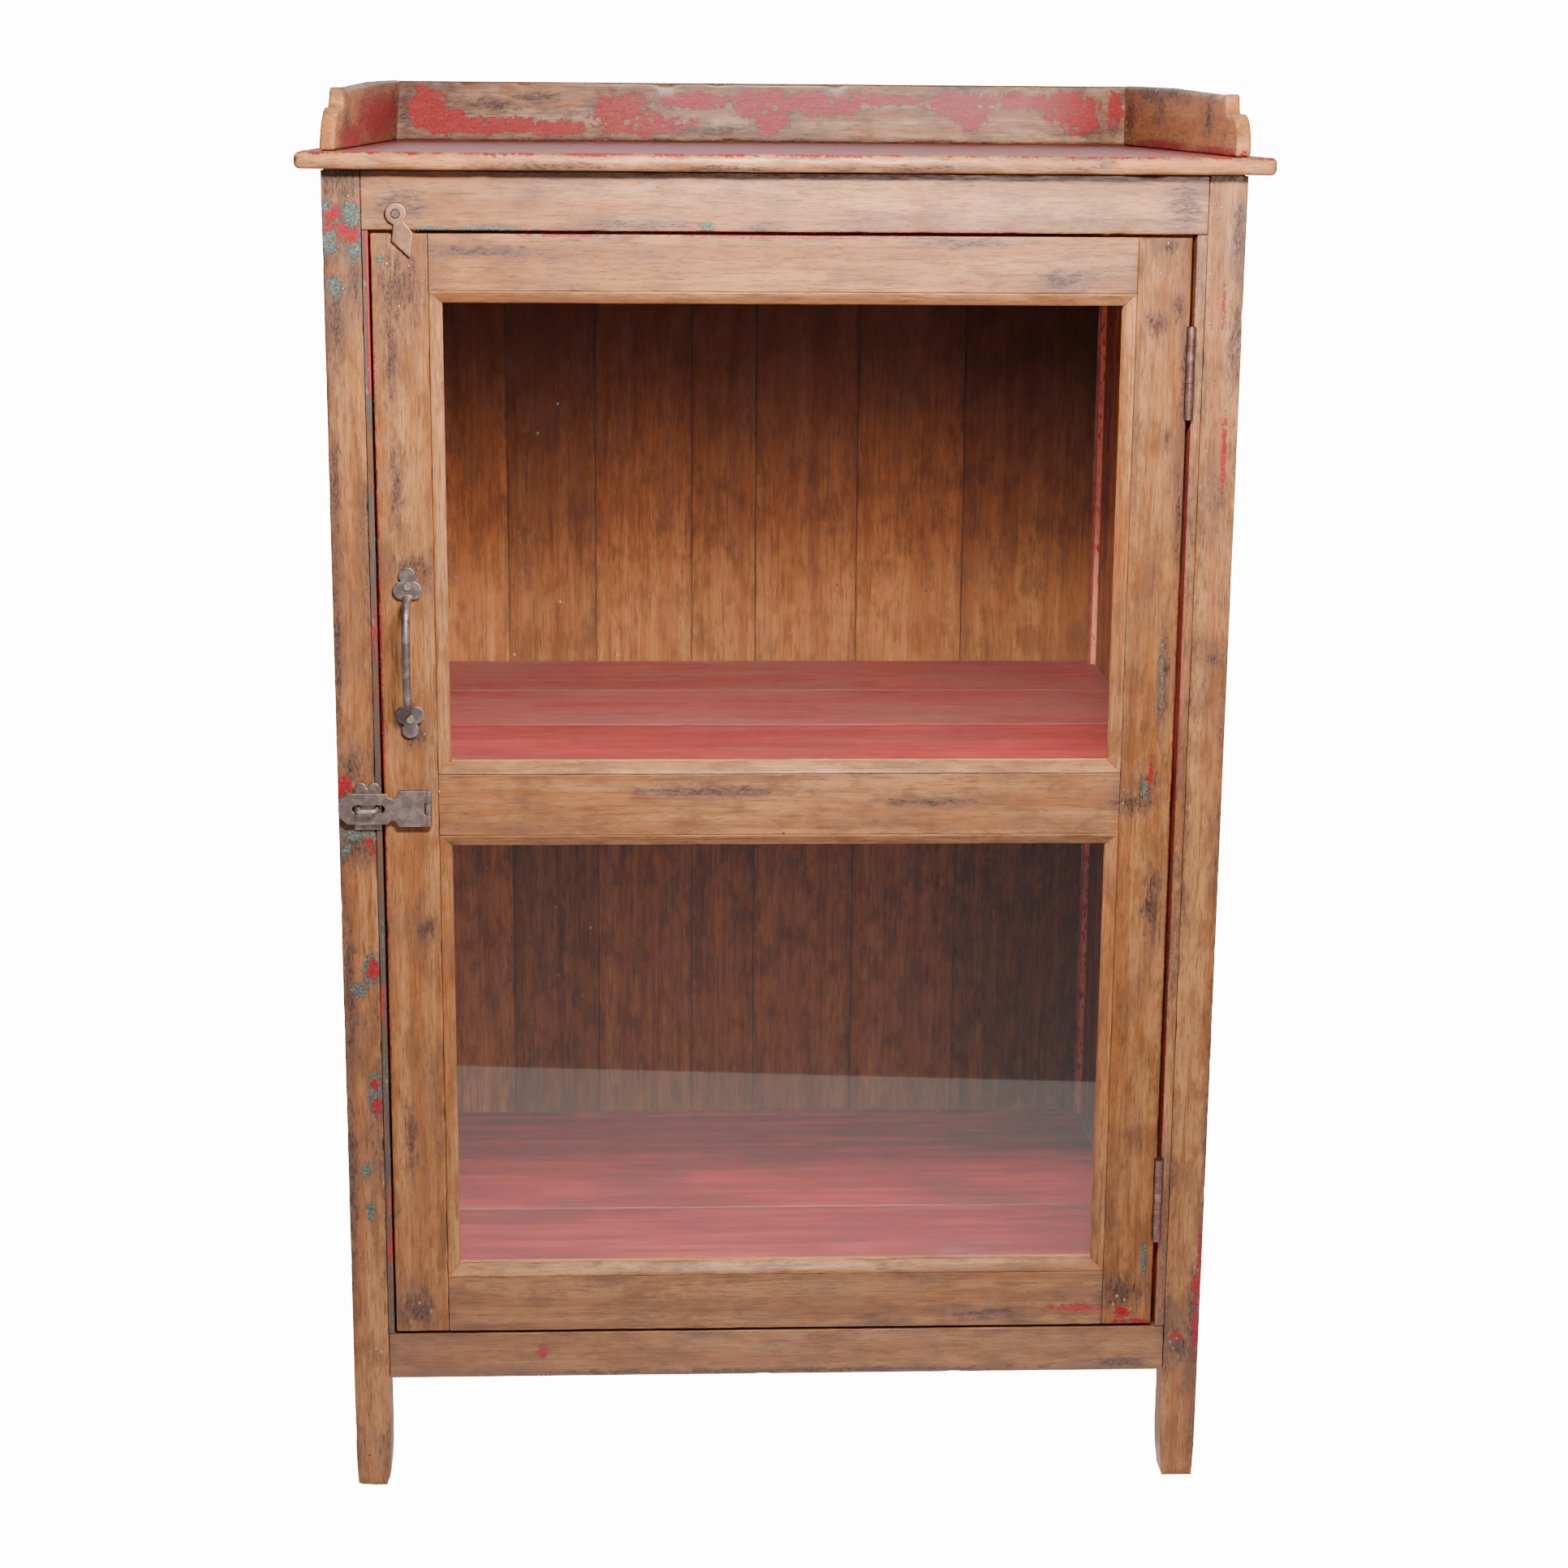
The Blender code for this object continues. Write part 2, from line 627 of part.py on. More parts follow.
def hasp_outline():
    """Front view of the hasp arm about its own axis: slotted tongue, round notches, wide hinge end."""
    left = HASP_LEFT - HASP_AXIS_X
    tongue = 13.3
    wide = HASP_HEIGHT / 2
    notch = (-30.3, tongue + 0.6)
    points = [(-3.2, -wide), (-3.2, wide), (-25.0, wide)]
    points += arc(notch, 5.0, -8.0, -172.0, 6)
    points += [(left + 8.0, tongue)]
    points += [(left + 2.0, tongue - 5.0), (left, 3.0), (left, -3.0), (left + 2.0, -tongue + 5.0)]
    points += [(left + 8.0, -tongue)]
    points += arc((notch[0], -notch[1]), 4.0, 172.0, 8.0, 5)
    points += [(-25.0, -wide)]
    return points


def slot_outline():
    """The slot in the hasp arm, round at both ends."""
    radius = SLOT_HEIGHT / 2
    ends = (SLOT[0] - HASP_AXIS_X + radius, SLOT[1] - HASP_AXIS_X - radius)
    return arc((ends[0], 0.0), radius, 90.0, 270.0, 5) + arc((ends[1], 0.0), radius, -90.0, 90.0, 5)


def build_hasp():
    axis = (HASP_AXIS_X, HASP_AXIS_Y, HASP_Z)
    knuckle = HASP_HEIGHT / 3
    arm_y = HASP_AXIS_Y - 0.4 - HASP_PLATE / 2
    loops = [hasp_outline(), slot_outline()]
    arm = flat_outline("hasp_arm", loops, HASP_PLATE, (axis[0], arm_y, axis[2]), steel())
    leaf_y = (FRONT - GAP - 1.6, FRONT - GAP)
    leaf_x = (HASP_AXIS_X - 25.0, HASP_AXIS_X)
    leaf_z = (HASP_Z - HASP_HEIGHT / 2, HASP_Z + HASP_HEIGHT / 2)
    leaf = block("hasp_leaf", leaf_x, leaf_y, leaf_z, steel(), 0.0, shrink=0.0)
    own = {"hasp_arm": (-1, 1), "hasp_leaf": (0,)}
    for plate in (arm, leaf):
        for k in (-1, 0, 1):
            middle = (axis[0], axis[1], axis[2] + knuckle * k)
            tag = "%s_%d" % (plate.name, k + 1)
            if k in own[plate.name]:
                barrel = rod(tag + "_knuckle", middle, HASP_BARREL_R, knuckle - GAP, sides=16, cutter=True)
                combine(plate, barrel, "UNION")
                if plate is arm:
                    bridge_x = (HASP_AXIS_X - 4.0, HASP_AXIS_X)
                    bridge_y = (arm_y - HASP_PLATE / 2, arm_y + HASP_PLATE / 2)
                    half = (knuckle - GAP) / 2
                    bridge_z = (middle[2] - half, middle[2] + half)
                    combine(plate, block(tag + "_bridge", bridge_x, bridge_y, bridge_z, cutter=True), "UNION")
            else:
                room = rod(tag + "_room", middle, HASP_BARREL_R + 0.35, knuckle + GAP, sides=16, cutter=True)
                combine(plate, room)
        bore = rod(plate.name + "_bore", axis, HASP_PIN_R + 0.3, HASP_HEIGHT + 4, sides=12, cutter=True)
        combine(plate, bore)
    rod("hasp_pin", axis, HASP_PIN_R, HASP_HEIGHT + 0.6, sides=12, mat=steel())
    move_origin(arm, axis)


def build_staple():
    x_mid = sum(STAPLE_LEGS) / 2
    plate_y = FRONT - GAP - 0.8
    half = STAPLE_PLATE_HALF
    low, shoulder = STAPLE_PLATE_Z
    lobe_x, lobe_r = STAPLE_LOBE
    loop = [(-half, low), (half, low), (half, shoulder)]
    for side in (1, -1):
        loop += arc((side * lobe_x, shoulder), lobe_r, 0.0, 180.0, 5)
    loop += [(-half, shoulder)]
    plate = flat_outline("staple_plate", [loop], 1.6, (x_mid, plate_y, HASP_Z), steel())
    for i, x in enumerate(STAPLE_LEGS):
        hole = (x, FRONT, HASP_Z)
        combine(plate, rod("staple_hole_%d" % i, hole, STAPLE_R + 0.3, 10.0, "Y", 12, cutter=True))
    curve = bpy.data.curves.new("staple", "CURVE")
    curve.dimensions = "3D"
    curve.bevel_depth = STAPLE_R * MM
    curve.bevel_resolution = 2
    curve.use_fill_caps = True
    corner = 3.0
    bar_y = FRONT - STAPLE_REACH + STAPLE_R
    left, right = STAPLE_LEGS
    route = [(left, FRONT - GAP)]
    route += arc((left + corner, bar_y + corner), corner, 180.0, 270.0, 4)
    route += arc((right - corner, bar_y + corner), corner, 270.0, 360.0, 4)
    route += [(right, FRONT - GAP)]
    spline = curve.splines.new("POLY")
    spline.points.add(len(route) - 1)
    for point, (x, y) in zip(spline.points, route):
        point.co = (x * MM, y * MM, HASP_Z * MM, 1.0)
    loop_object = bpy.data.objects.new("staple", curve)
    bpy.context.scene.collection.objects.link(loop_object)
    keep(curve_to_mesh(loop_object), "staple", steel()).data.shade_smooth()


def build_turn_button():
    """A round eye with a kite-shaped tail that hangs a little to the right of straight down."""
    outline = arc((0.0, 0.0), BUTTON_HEAD_R, -60.0, 240.0, 20)
    outline += BUTTON_TAIL
    hole = arc((0.0, 0.0), 2.2, 0.0, 330.0, 11)
    at = (BUTTON_X, FRONT - GAP - BUTTON_THICK / 2, BUTTON_Z)
    button = flat_outline("turn_button", [outline, hole], BUTTON_THICK, at, steel())
    button.data.transform(Matrix.Rotation(-BUTTON_TILT, 4, "Y"))
    add_bevel(button, 0.5, 1)
    y = FRONT - GAP - BUTTON_THICK - 0.2
    build_screw("turn_button_screw", BUTTON_X, y, BUTTON_Z, 4.0, 13.0, -65.0)


def main():
    clear_scene()
    build_posts()
    build_rails()
    build_jambs()
    build_back()
    build_planks()
    build_top()
    build_gallery()
    build_door()
    build_hinges()
    build_handle()
    build_hasp()
    build_staple()
    build_turn_button()
    hang_on("door_pivot", (HINGE_X, HINGE_Y, (DOOR_LOW + DOOR_HIGH) / 2), DOOR_PIECES)


main()
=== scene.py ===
"""The looks of a glazed one-door cabinet: worn teak, flaking red and green paint, aged iron and old glass.

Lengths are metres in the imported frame, and MM turns millimetres into metres. The wooden frame, boards and
panels are rebuilt over their CAD solids with rounded, chipped edges and slightly uneven faces, and the larger
iron pieces are softened. The planks, the panes, the hinges, the screws and the hasp's leaf and pin keep their
CAD solids and only take a material.
"""

import math
import random

import bmesh
import bpy
from mathutils import Matrix, Vector, noise


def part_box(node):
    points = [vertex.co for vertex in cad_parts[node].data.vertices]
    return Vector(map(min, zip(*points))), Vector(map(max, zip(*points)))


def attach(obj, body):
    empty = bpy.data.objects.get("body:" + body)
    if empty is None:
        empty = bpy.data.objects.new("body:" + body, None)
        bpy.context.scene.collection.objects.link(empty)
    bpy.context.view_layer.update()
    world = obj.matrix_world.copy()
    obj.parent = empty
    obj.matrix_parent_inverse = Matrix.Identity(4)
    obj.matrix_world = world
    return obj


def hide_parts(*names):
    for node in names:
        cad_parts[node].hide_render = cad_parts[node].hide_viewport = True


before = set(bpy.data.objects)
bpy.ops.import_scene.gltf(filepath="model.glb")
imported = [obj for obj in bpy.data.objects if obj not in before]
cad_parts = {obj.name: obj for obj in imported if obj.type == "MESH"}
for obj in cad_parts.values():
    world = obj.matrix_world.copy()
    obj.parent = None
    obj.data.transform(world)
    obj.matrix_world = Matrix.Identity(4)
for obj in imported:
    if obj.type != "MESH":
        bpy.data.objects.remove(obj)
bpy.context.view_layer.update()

MM = 0.001
X, Y, Z = 0, 1, 2

# Places taken from the frame
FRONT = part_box("front_left_post")[0].y
DOOR_LOW, DOOR_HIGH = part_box("door_left_stile")[0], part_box("door_right_stile")[1]
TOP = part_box("top_board")[1].z

# Depths on Y of the patch tables, in millimetres
FACE, TOP_EDGE, GALLERY_BACK = -280, -300, 300

# The mould round each pane, as in the CAD solids
MOULD = 10.5 * MM
REBATE = 6.5 * MM
GLASS_CLEAR = 0.6 * MM

# Profiles in millimetres: out from the sight line, and back from the door's face
MOULD_PROFILE = [
    (10.4, 8.8), (10.4, 0.6), (10.1, 0.15), (9.5, 0.0), (8.9, 0.15), (7.0, 1.6), (4.0, 3.9), (1.6, 5.6),
    (0.7, 6.3), (0.2, 7.1), (0.0, 8.0), (0.0, 8.8),
]
BEAD_PROFILE = [(0.4, 12.4), (6.3, 12.4), (6.3, 21.0), (3.6, 21.0), (1.8, 19.8), (0.8, 17.8), (0.4, 15.0)]

# A worn block: waves a metre of its wander, chips and dents, then how much they open its rounded edges,
# how rare the chips are, and the largest share of a side that one edge takes
WANDER_WAVES, CHIP_WAVES, DENT_WAVES = 38.0, 95.0, 21.0
WANDER, CHIP, CHIP_FLOOR = 0.45, 6.0, 0.30
EDGE_SHARE = 0.49

# Camera
CAMERA_PLACE = (-0.1081, -2.6894, 1.2148)
CAMERA_YAW = 0.0452
CAMERA_PITCH = -0.2315
CAMERA_ROLL = 0.0079
CAMERA_LENS = 66.82
SENSOR = 36.0

# Light
FLOOR_GLOW = 14.0
FLOOR_BOUNCE = 0.24
FLOOR_MIRRORED = 0.48
BACKDROP = 14.0
FILL = 0.03

# Colours, linear
TAN = (0.50, 0.215, 0.082)
HONEY = (0.36, 0.128, 0.040)
UMBER = (0.11, 0.045, 0.022)
SMUDGE = (0.034, 0.021, 0.019)
HAZE = (0.165, 0.082, 0.058)
# Painted shade for the upper inside of the cabinet
UPPER_SHADE = (0.060, 0.013, 0.004)
DUST = (0.42, 0.36, 0.34)
BACK_LIGHT = (0.40, 0.160, 0.052)
BACK_MID = (0.30, 0.105, 0.030)
STRIP_TAN = (0.52, 0.24, 0.10)
RUBBED_TAN = (0.52, 0.30, 0.17)
RED = (0.44, 0.018, 0.022)
DEEP_RED = (0.20, 0.010, 0.016)
DUSTY_RED = (0.25, 0.095, 0.082)
CHALKY_RED = (0.34, 0.17, 0.14)
SALMON = (0.80, 0.27, 0.18)
GREEN = (0.145, 0.215, 0.155)
SLATE = (0.070, 0.062, 0.062)
PATINA = (0.255, 0.195, 0.180)
RUST = (0.16, 0.062, 0.034)
RUBBED_IRON = (0.42, 0.37, 0.35)
GLASS = (0.97, 0.98, 0.975)
GLASS_SHADOW = (0.92, 0.93, 0.925)
FLOOR_GREY = (0.86, 0.86, 0.87)
FLOOR_WHITE = (0.90, 0.90, 0.90)


# ---------------------------------------------------------------- materials


class Graph:
    """The node tree of a material or world, with short calls for the nodes that are used most."""

    def __init__(self, owner):
        self.owner = owner
        owner.use_nodes = True
        self.tree = owner.node_tree
        self.tree.nodes.clear()
        self.coordinates = self.node("ShaderNodeTexCoord")
        self.place = self.coordinates.outputs["Object"]

    def node(self, kind, inputs=None, **settings):
        """Makes a node with these settings, and puts a value or a link in each of the inputs named."""
        made = self.tree.nodes.new(kind)
        for key, value in settings.items():
            setattr(made, key, value)
        for socket, value in (inputs or {}).items():
            self.put(made.inputs[socket], value)
        return made

    def put(self, socket, value):
        if isinstance(value, bpy.types.NodeSocket):
            self.tree.links.new(value, socket)
        elif socket.type == "RGBA" and len(value) == 3:
            socket.default_value = (*value, 1.0)
        else:
            socket.default_value = value

    def maths(self, operation, first, second=0.0, clamp=False):
        made = self.node("ShaderNodeMath", {0: first, 1: second}, operation=operation, use_clamp=clamp)
        return made.outputs[0]

    def times(self, first, second, clamp=False):
        return self.maths("MULTIPLY", first, second, clamp)

    def plus(self, first, second):
        return self.maths("ADD", first, second)

    def minus(self, first, second):
        return self.maths("SUBTRACT", first, second)

    def larger(self, first, second):
        return self.maths("MAXIMUM", first, second)

    def distance(self, first, second):
        return self.maths("ABSOLUTE", self.minus(first, second))

    def scaled(self, scale, shift):
        """The place on the object, scaled to cells and shifted to another part of the pattern."""
        made = self.node("ShaderNodeMapping", {"Vector": self.place, "Scale": scale, "Location": shift})
        return made.outputs[0]

    def noise(self, scale, seed, detail, rough, twist=0.0):
        """Noise whose scale is in cells a metre, one number or one for each axis."""
        if not isinstance(scale, tuple):
            scale = (scale, scale, scale)
        shift = (seed * 3.17 % 19.0, seed * 7.31 % 23.0, seed * 5.73 % 17.0)
        inputs = {
            "Vector": self.scaled(scale, shift), "Scale": 1.0, "Detail": detail, "Roughness": rough,
            "Distortion": twist,
        }
        return self.node("ShaderNodeTexNoise", inputs).outputs["Fac"]

    def cells(self, scale, seed):
        """Distance to the nearest cell point, and that cell's own colour."""
        shift = (seed * 2.3 % 11.0, seed * 4.7 % 13.0, seed * 6.1 % 7.0)
        inputs = {"Vector": self.scaled((scale, scale, scale), shift), "Scale": 1.0}
        made = self.node("ShaderNodeTexVoronoi", inputs, feature="F1")
        return made.outputs["Distance"], made.outputs["Color"]

    def step(self, value, low, high, start=0.0, end=1.0, curve="SMOOTHSTEP"):
        """Goes from start to end as the value goes from low to high."""
        inputs = {"Value": value, "From Min": low, "From Max": high, "To Min": start, "To Max": end}
        return self.node("ShaderNodeMapRange", inputs, interpolation_type=curve).outputs["Result"]

    def blend(self, factor, base, over):
        """Lays one colour over another."""
        return self.node("ShaderNodeMix", {0: factor, 6: base, 7: over}, data_type="RGBA").outputs[2]

    def axis(self, index):
        return self.node("ShaderNodeSeparateXYZ", {0: self.place}).outputs[index]

    def edges(self, box, width, ragged):
        """1 along the edges of a box and 0 on its faces, fading over the width, with a ragged border."""
        near = []
        for index in (X, Y, Z):
            here = self.axis(index)
            low = self.minus(here, box[0][index])
            high = self.minus(box[1][index], here)
            gap = self.plus(self.maths("MINIMUM", low, high), ragged)
            near.append(self.step(gap, 0.0, width, 1.0, 0.0))
        pairs = [self.times(near[i], near[(i + 1) % 3]) for i in range(3)]
        return self.larger(self.larger(pairs[0], pairs[1]), pairs[2])

    def patches(self, spots, rag):
        """Over 0 inside any of the ellipsoids (centre, half sizes), with a border torn by the given noise."""
        found = None
        for centre, half in spots:
            shifted = self.node("ShaderNodeVectorMath", {0: self.place, 1: centre}, operation="SUBTRACT")
            sized = self.node("ShaderNodeVectorMath", {0: shifted.outputs[0], 1: half}, operation="DIVIDE")
            length = self.node("ShaderNodeVectorMath", {0: sized.outputs[0]}, operation="LENGTH")
            inside = self.minus(1.0, length.outputs["Value"])
            found = inside if found is None else self.larger(found, inside)
        return self.plus(found, rag)

    def torn(self, seed, coarse, fine, amount):
        """Noise round 0 at two scales, for the borders of flaking paint."""
        big = self.noise(coarse, seed, 4.0, 0.6)
        small = self.noise(fine, seed + 1, 3.0, 0.6)
        both = self.plus(self.times(big, 0.6), self.times(small, 0.4))
        return self.times(self.minus(both, 0.5), amount)

    def bump(self, height, distance, strength, normal=None):
        inputs = {"Height": height, "Distance": distance, "Strength": strength}
        if normal is not None:
            inputs["Normal"] = normal
        return self.node("ShaderNodeBump", inputs).outputs["Normal"]

    def mixed(self, factor, first, second):
        """Mixes two shaders."""
        return self.node("ShaderNodeMixShader", {0: factor, 1: first, 2: second}).outputs[0]

    def finish(self, shader, kind="ShaderNodeOutputMaterial"):
        """Joins the shader to the output, and gives back the material or world."""
        self.node(kind, {"Surface": shader})
        return self.owner

    def surface(self, colour, roughness, normal, metallic=0.0, specular=0.5, coat=0.0, coat_rough=0.2):
        inputs = {
            "Base Color": colour, "Roughness": roughness, "Metallic": metallic, "Normal": normal,
            "Specular IOR Level": specular, "Coat Weight": coat, "Coat Roughness": coat_rough,
        }
        return self.finish(self.node("ShaderNodeBsdfPrincipled", inputs).outputs[0])


def material_graph(name):
    return Graph(bpy.data.materials.new(name))


def along(axis, across, lengthways):
    """Noise scales that run with the grain."""
    scale = [across, across, across]
    scale[axis] = lengthways
    return tuple(scale)


def toned(colour, amount):
    """A colour made darker, or lighter where the amount is over 1."""
    return tuple(c * amount for c in colour)


def spots_mm(*spots):
    """Paint or stain patches given in millimetres as (x, y, z, half_x, half_y, half_z)."""
    return [(tuple(v * MM for v in s[:3]), tuple(v * MM for v in s[3:])) for s in spots]


def spots_at(depth, *spots):
    """Patches that share one depth on Y, given as (x, z, half_x, half_y, half_z)."""
    return spots_mm(*((x, depth, *rest) for x, *rest in spots))


def grain_layers(g, axis, seed, light, mid):
    """Colour and height of planed wood: a broad figure, mottling, dark streaks and open pores."""
    bands = g.noise(along(axis, 75.0, 2.6), seed, 5.0, 0.62, 0.3)
    fibres = g.noise(along(axis, 430.0, 24.0), seed + 1, 5.0, 0.7)
    clouds = g.noise(along(axis, 55.0, 24.0), seed + 2, 5.0, 0.68)
    pores = g.step(g.noise(along(axis, 1500.0, 60.0), seed + 3, 3.0, 0.6), 0.56, 0.64)
    colour = g.blend(g.step(bands, 0.38, 0.64), mid, light)
    colour = g.blend(g.step(clouds, 0.45, 0.64, 0.0, 0.62), colour, toned(mid, 0.55))
    colour = g.blend(g.step(fibres, 0.49, 0.68, 0.0, 0.70), colour, toned(mid, 0.42))
    colour = g.blend(g.times(pores, 0.70), colour, UMBER)
    return colour, g.minus(g.times(fibres, 0.5), g.times(pores, 0.5))


def worm_holes(g, seed, colour):
    """Small round holes in some cells, coloured with painted shade, and pale plugged nail holes in a few
    others.
    """
    distance, tint = g.cells(34.0, seed)
    split = g.node("ShaderNodeSeparateColor", {0: tint})
    holed = g.step(split.outputs[0], 0.72, 0.74)
    hole = g.times(g.step(distance, 0.022, 0.045, 1.0, 0.0), holed)
    plugged = g.step(split.outputs[1], 0.80, 0.82)
    plug = g.times(g.step(distance, 0.03, 0.06, 1.0, 0.0), plugged)
    colour = g.blend(g.times(plug, 0.6), colour, DUST)
    # The near-black of the holes is painted shade in the hollows
    return g.blend(hole, colour, toned(UMBER, 0.25)), hole


def teak(
    name, axis, seed, box, light=TAN, mid=HONEY, stain=0.5, edge_stain=0.5, red=(), green=(), smudges=(),
    gloss=0.38, coat=0.08, sheen=0.45, tear=(190.0, 560.0, 4.6), lining=None, upper_shade=0.0,
):
    """Old polished teak: grain, dark smudges that gather at the edges, holes and flecks of old paint.

    The grain runs along the axis, and the box gives the edges. stain and edge_stain are how dirty the faces
    and the edges are. red, green and smudges are patches, and tear is how their paint is torn: the coarse and
    the fine scale, and the depth. gloss is the roughness, coat the varnish and sheen the specular level.
    lining is a red line: its place on X and its half width. The last argument darkens the front face high up:
    painted shade, where little light reaches inside.
    """
    g = material_graph(name)
    colour, height = grain_layers(g, axis, seed, light, mid)
    breakup = g.noise(along(axis, 260.0, 75.0), seed + 4, 6.0, 0.70)
    broad = g.noise(along(axis, 34.0, 12.0), seed + 5, 5.0, 0.65)
    ragged = g.minus(breakup, 0.5)
    # Painted shade: the inner face darkens high up, standing in for the shade inside the cabinet
    if upper_shade:
        face = box[0][Y]
        inner = g.step(g.axis(Y), face + 2.0 * MM, face + 4.0 * MM, upper_shade, 0.0)
        colour = g.blend(g.times(g.step(g.axis(Z), 0.76, 0.99), inner), colour, UPPER_SHADE)
    speck = g.noise(along(axis, 950.0, 260.0), seed + 9, 4.0, 0.7)
    grit = g.step(speck, 0.42, 0.58, 0.30, 1.0)

    # Dirt: a haze over the broad clouds, marks on the faces, a rim at the edges, and the smudges
    colour = g.blend(g.step(broad, 0.46, 0.66, 0.0, 0.7 * stain), colour, HAZE)
    rim = g.times(g.edges(box, 9.0 * MM, g.times(ragged, 0.026)), g.step(broad, 0.38, 0.58))
    marks = g.times(g.step(broad, 0.54, 0.68), g.step(breakup, 0.47, 0.60))
    dirt = g.larger(g.times(marks, stain), g.times(rim, edge_stain))
    if smudges:
        cover = g.patches(smudges, g.times(ragged, 3.6))
        colour = g.blend(g.step(cover, -0.5, 0.6, 0.0, 0.55), colour, HAZE)
        dirt = g.larger(dirt, g.step(cover, 0.0, 0.9, 0.0, 0.95))
    dirt = g.times(dirt, grit)
    colour = g.blend(dirt, colour, SMUDGE)

    # Flaking paint: a dark halo of old ground, then the paint with chalky places
    flecks = g.noise(520.0, seed + 6, 4.0, 0.6)
    bare = g.step(g.cells(62.0, seed + 3)[0], 0.16, 0.22)
    paint = None
    for spots, light_tone, dark_tone, lift in ((green, GREEN, SLATE, 4), (red, RED, toned(RED, 0.6), 0)):
        if spots:
            eaten = g.patches(spots, g.torn(seed + 8 + lift, *tear))
            halo = g.times(g.step(eaten, -0.45, 0.05), grit)
            colour = g.blend(g.times(halo, 0.70), colour, SLATE)
            cover = g.times(g.step(eaten, 0.0, 0.06), g.step(speck, 0.64, 0.70, 1.0, 0.0))
            cover = g.times(cover, bare)
            shade = g.blend(g.step(flecks, 0.40, 0.64), dark_tone, light_tone)
            chalk = g.step(flecks, 0.60, 0.76, 0.0, 0.30)
            colour = g.blend(cover, colour, g.blend(chalk, shade, DUST))
            paint = cover if paint is None else g.larger(paint, cover)
    if lining:
        place, half = lining
        cover = g.step(g.distance(g.axis(X), place), half, half + 0.5 * MM, 1.0, 0.0)
        colour = g.blend(cover, colour, g.blend(g.step(breakup, 0.50, 0.66), SALMON, RED))
    colour, hole = worm_holes(g, seed + 7, colour)

    rough = g.step(breakup, 0.2, 0.8, gloss - 0.08, gloss + 0.16)
    rough = g.plus(rough, g.times(dirt, 0.12))
    normal = g.bump(height, 0.35 * MM, 0.5)
    normal = g.bump(g.minus(g.times(broad, 0.6), hole), 0.5 * MM, 0.45, normal)
    if paint is not None:
        normal = g.bump(paint, 0.30 * MM, 0.6, normal)
    return g.surface(colour, rough, normal, specular=sheen, coat=coat, coat_rough=0.26)


def painted_strip(name, seed, line):
    """An upright strip under old grey-green and red paint, mostly rubbed down to dark wood.

    A red line runs up it at the given place on X.
    """
    g = material_graph(name)
    colour, height = grain_layers(g, Z, seed, toned(HONEY, 0.8), toned(HONEY, 0.5))
    broad = g.noise(along(Z, 130.0, 20.0), seed + 4, 5.0, 0.65)
    fine = g.noise(along(Z, 560.0, 170.0), seed + 5, 5.0, 0.7)
    spread = g.noise(along(Z, 90.0, 14.0), seed + 6, 4.0, 0.65)
    colour = g.blend(g.times(g.step(broad, 0.36, 0.48), g.step(fine, 0.36, 0.54)), colour, SLATE)
    green = g.times(g.step(broad, 0.54, 0.60), g.step(fine, 0.50, 0.56))
    colour = g.blend(green, colour, GREEN)
    red = g.times(g.step(spread, 0.60, 0.64), g.step(fine, 0.44, 0.50))
    upper = g.step(g.axis(Z), 0.95, 1.02, -0.03, 0.40)
    chosen = g.step(g.plus(spread, upper), 0.62, 0.68)
    lined = g.step(g.distance(g.axis(X), line), 1.6 * MM, 2.2 * MM, 1.0, 0.0)
    red = g.larger(red, g.times(lined, chosen))
    colour = g.blend(red, colour, RED)
    normal = g.bump(height, 0.3 * MM, 0.4)
    normal = g.bump(g.larger(green, red), 0.4 * MM, 0.8, normal)
    return g.surface(colour, g.step(fine, 0.2, 0.8, 0.42, 0.7), normal)


def red_plank(name, seed, box, worn, dust, tone):
    """A plank under red paint, streaked by cleaning, rubbed through along its edges."""
    g = material_graph(name)
    wood, height = grain_layers(g, X, seed, toned(TAN, 0.8), toned(HONEY, 0.8))
    streaks = g.noise(along(X, 70.0, 6.0), seed + 4, 5.0, 0.62, 0.3)
    scuffs = g.noise(along(X, 240.0, 40.0), seed + 5, 5.0, 0.65)
    broad = g.noise(7.0, seed + 6, 4.0, 0.55)
    film = g.noise(along(X, 34.0, 7.0), seed + 7, 5.0, 0.62)
    paint = g.blend(g.step(streaks, 0.38, 0.62), toned(RED, 0.48 * tone), toned(RED, 0.82 * tone))
    paint = g.blend(g.step(broad, 0.42, 0.66, 0.0, 0.7), paint, DEEP_RED)
    paint = g.blend(g.step(film, 0.34, 0.66, 0.35 * dust, dust), paint, DUSTY_RED)
    chalk = g.times(g.step(streaks, 0.52, 0.66), g.step(scuffs, 0.46, 0.62))
    paint = g.blend(g.times(chalk, 0.40), paint, CHALKY_RED)
    rim = g.edges(box, 3.0 * MM, g.times(g.minus(scuffs, 0.5), 0.012))
    bare = g.times(g.step(broad, 0.56, 0.70), g.step(scuffs, 0.54, 0.62))
    bare = g.times(g.larger(bare, g.times(rim, 0.8)), worn, clamp=True)
    colour = g.blend(bare, paint, g.blend(0.5, wood, toned(DUST, 0.7)))
    normal = g.bump(height, 0.3 * MM, 0.35)
    normal = g.bump(g.minus(scuffs, bare), 0.4 * MM, 0.35, normal)
    return g.surface(colour, g.step(scuffs, 0.2, 0.8, 0.42, 0.64), normal, specular=0.35)


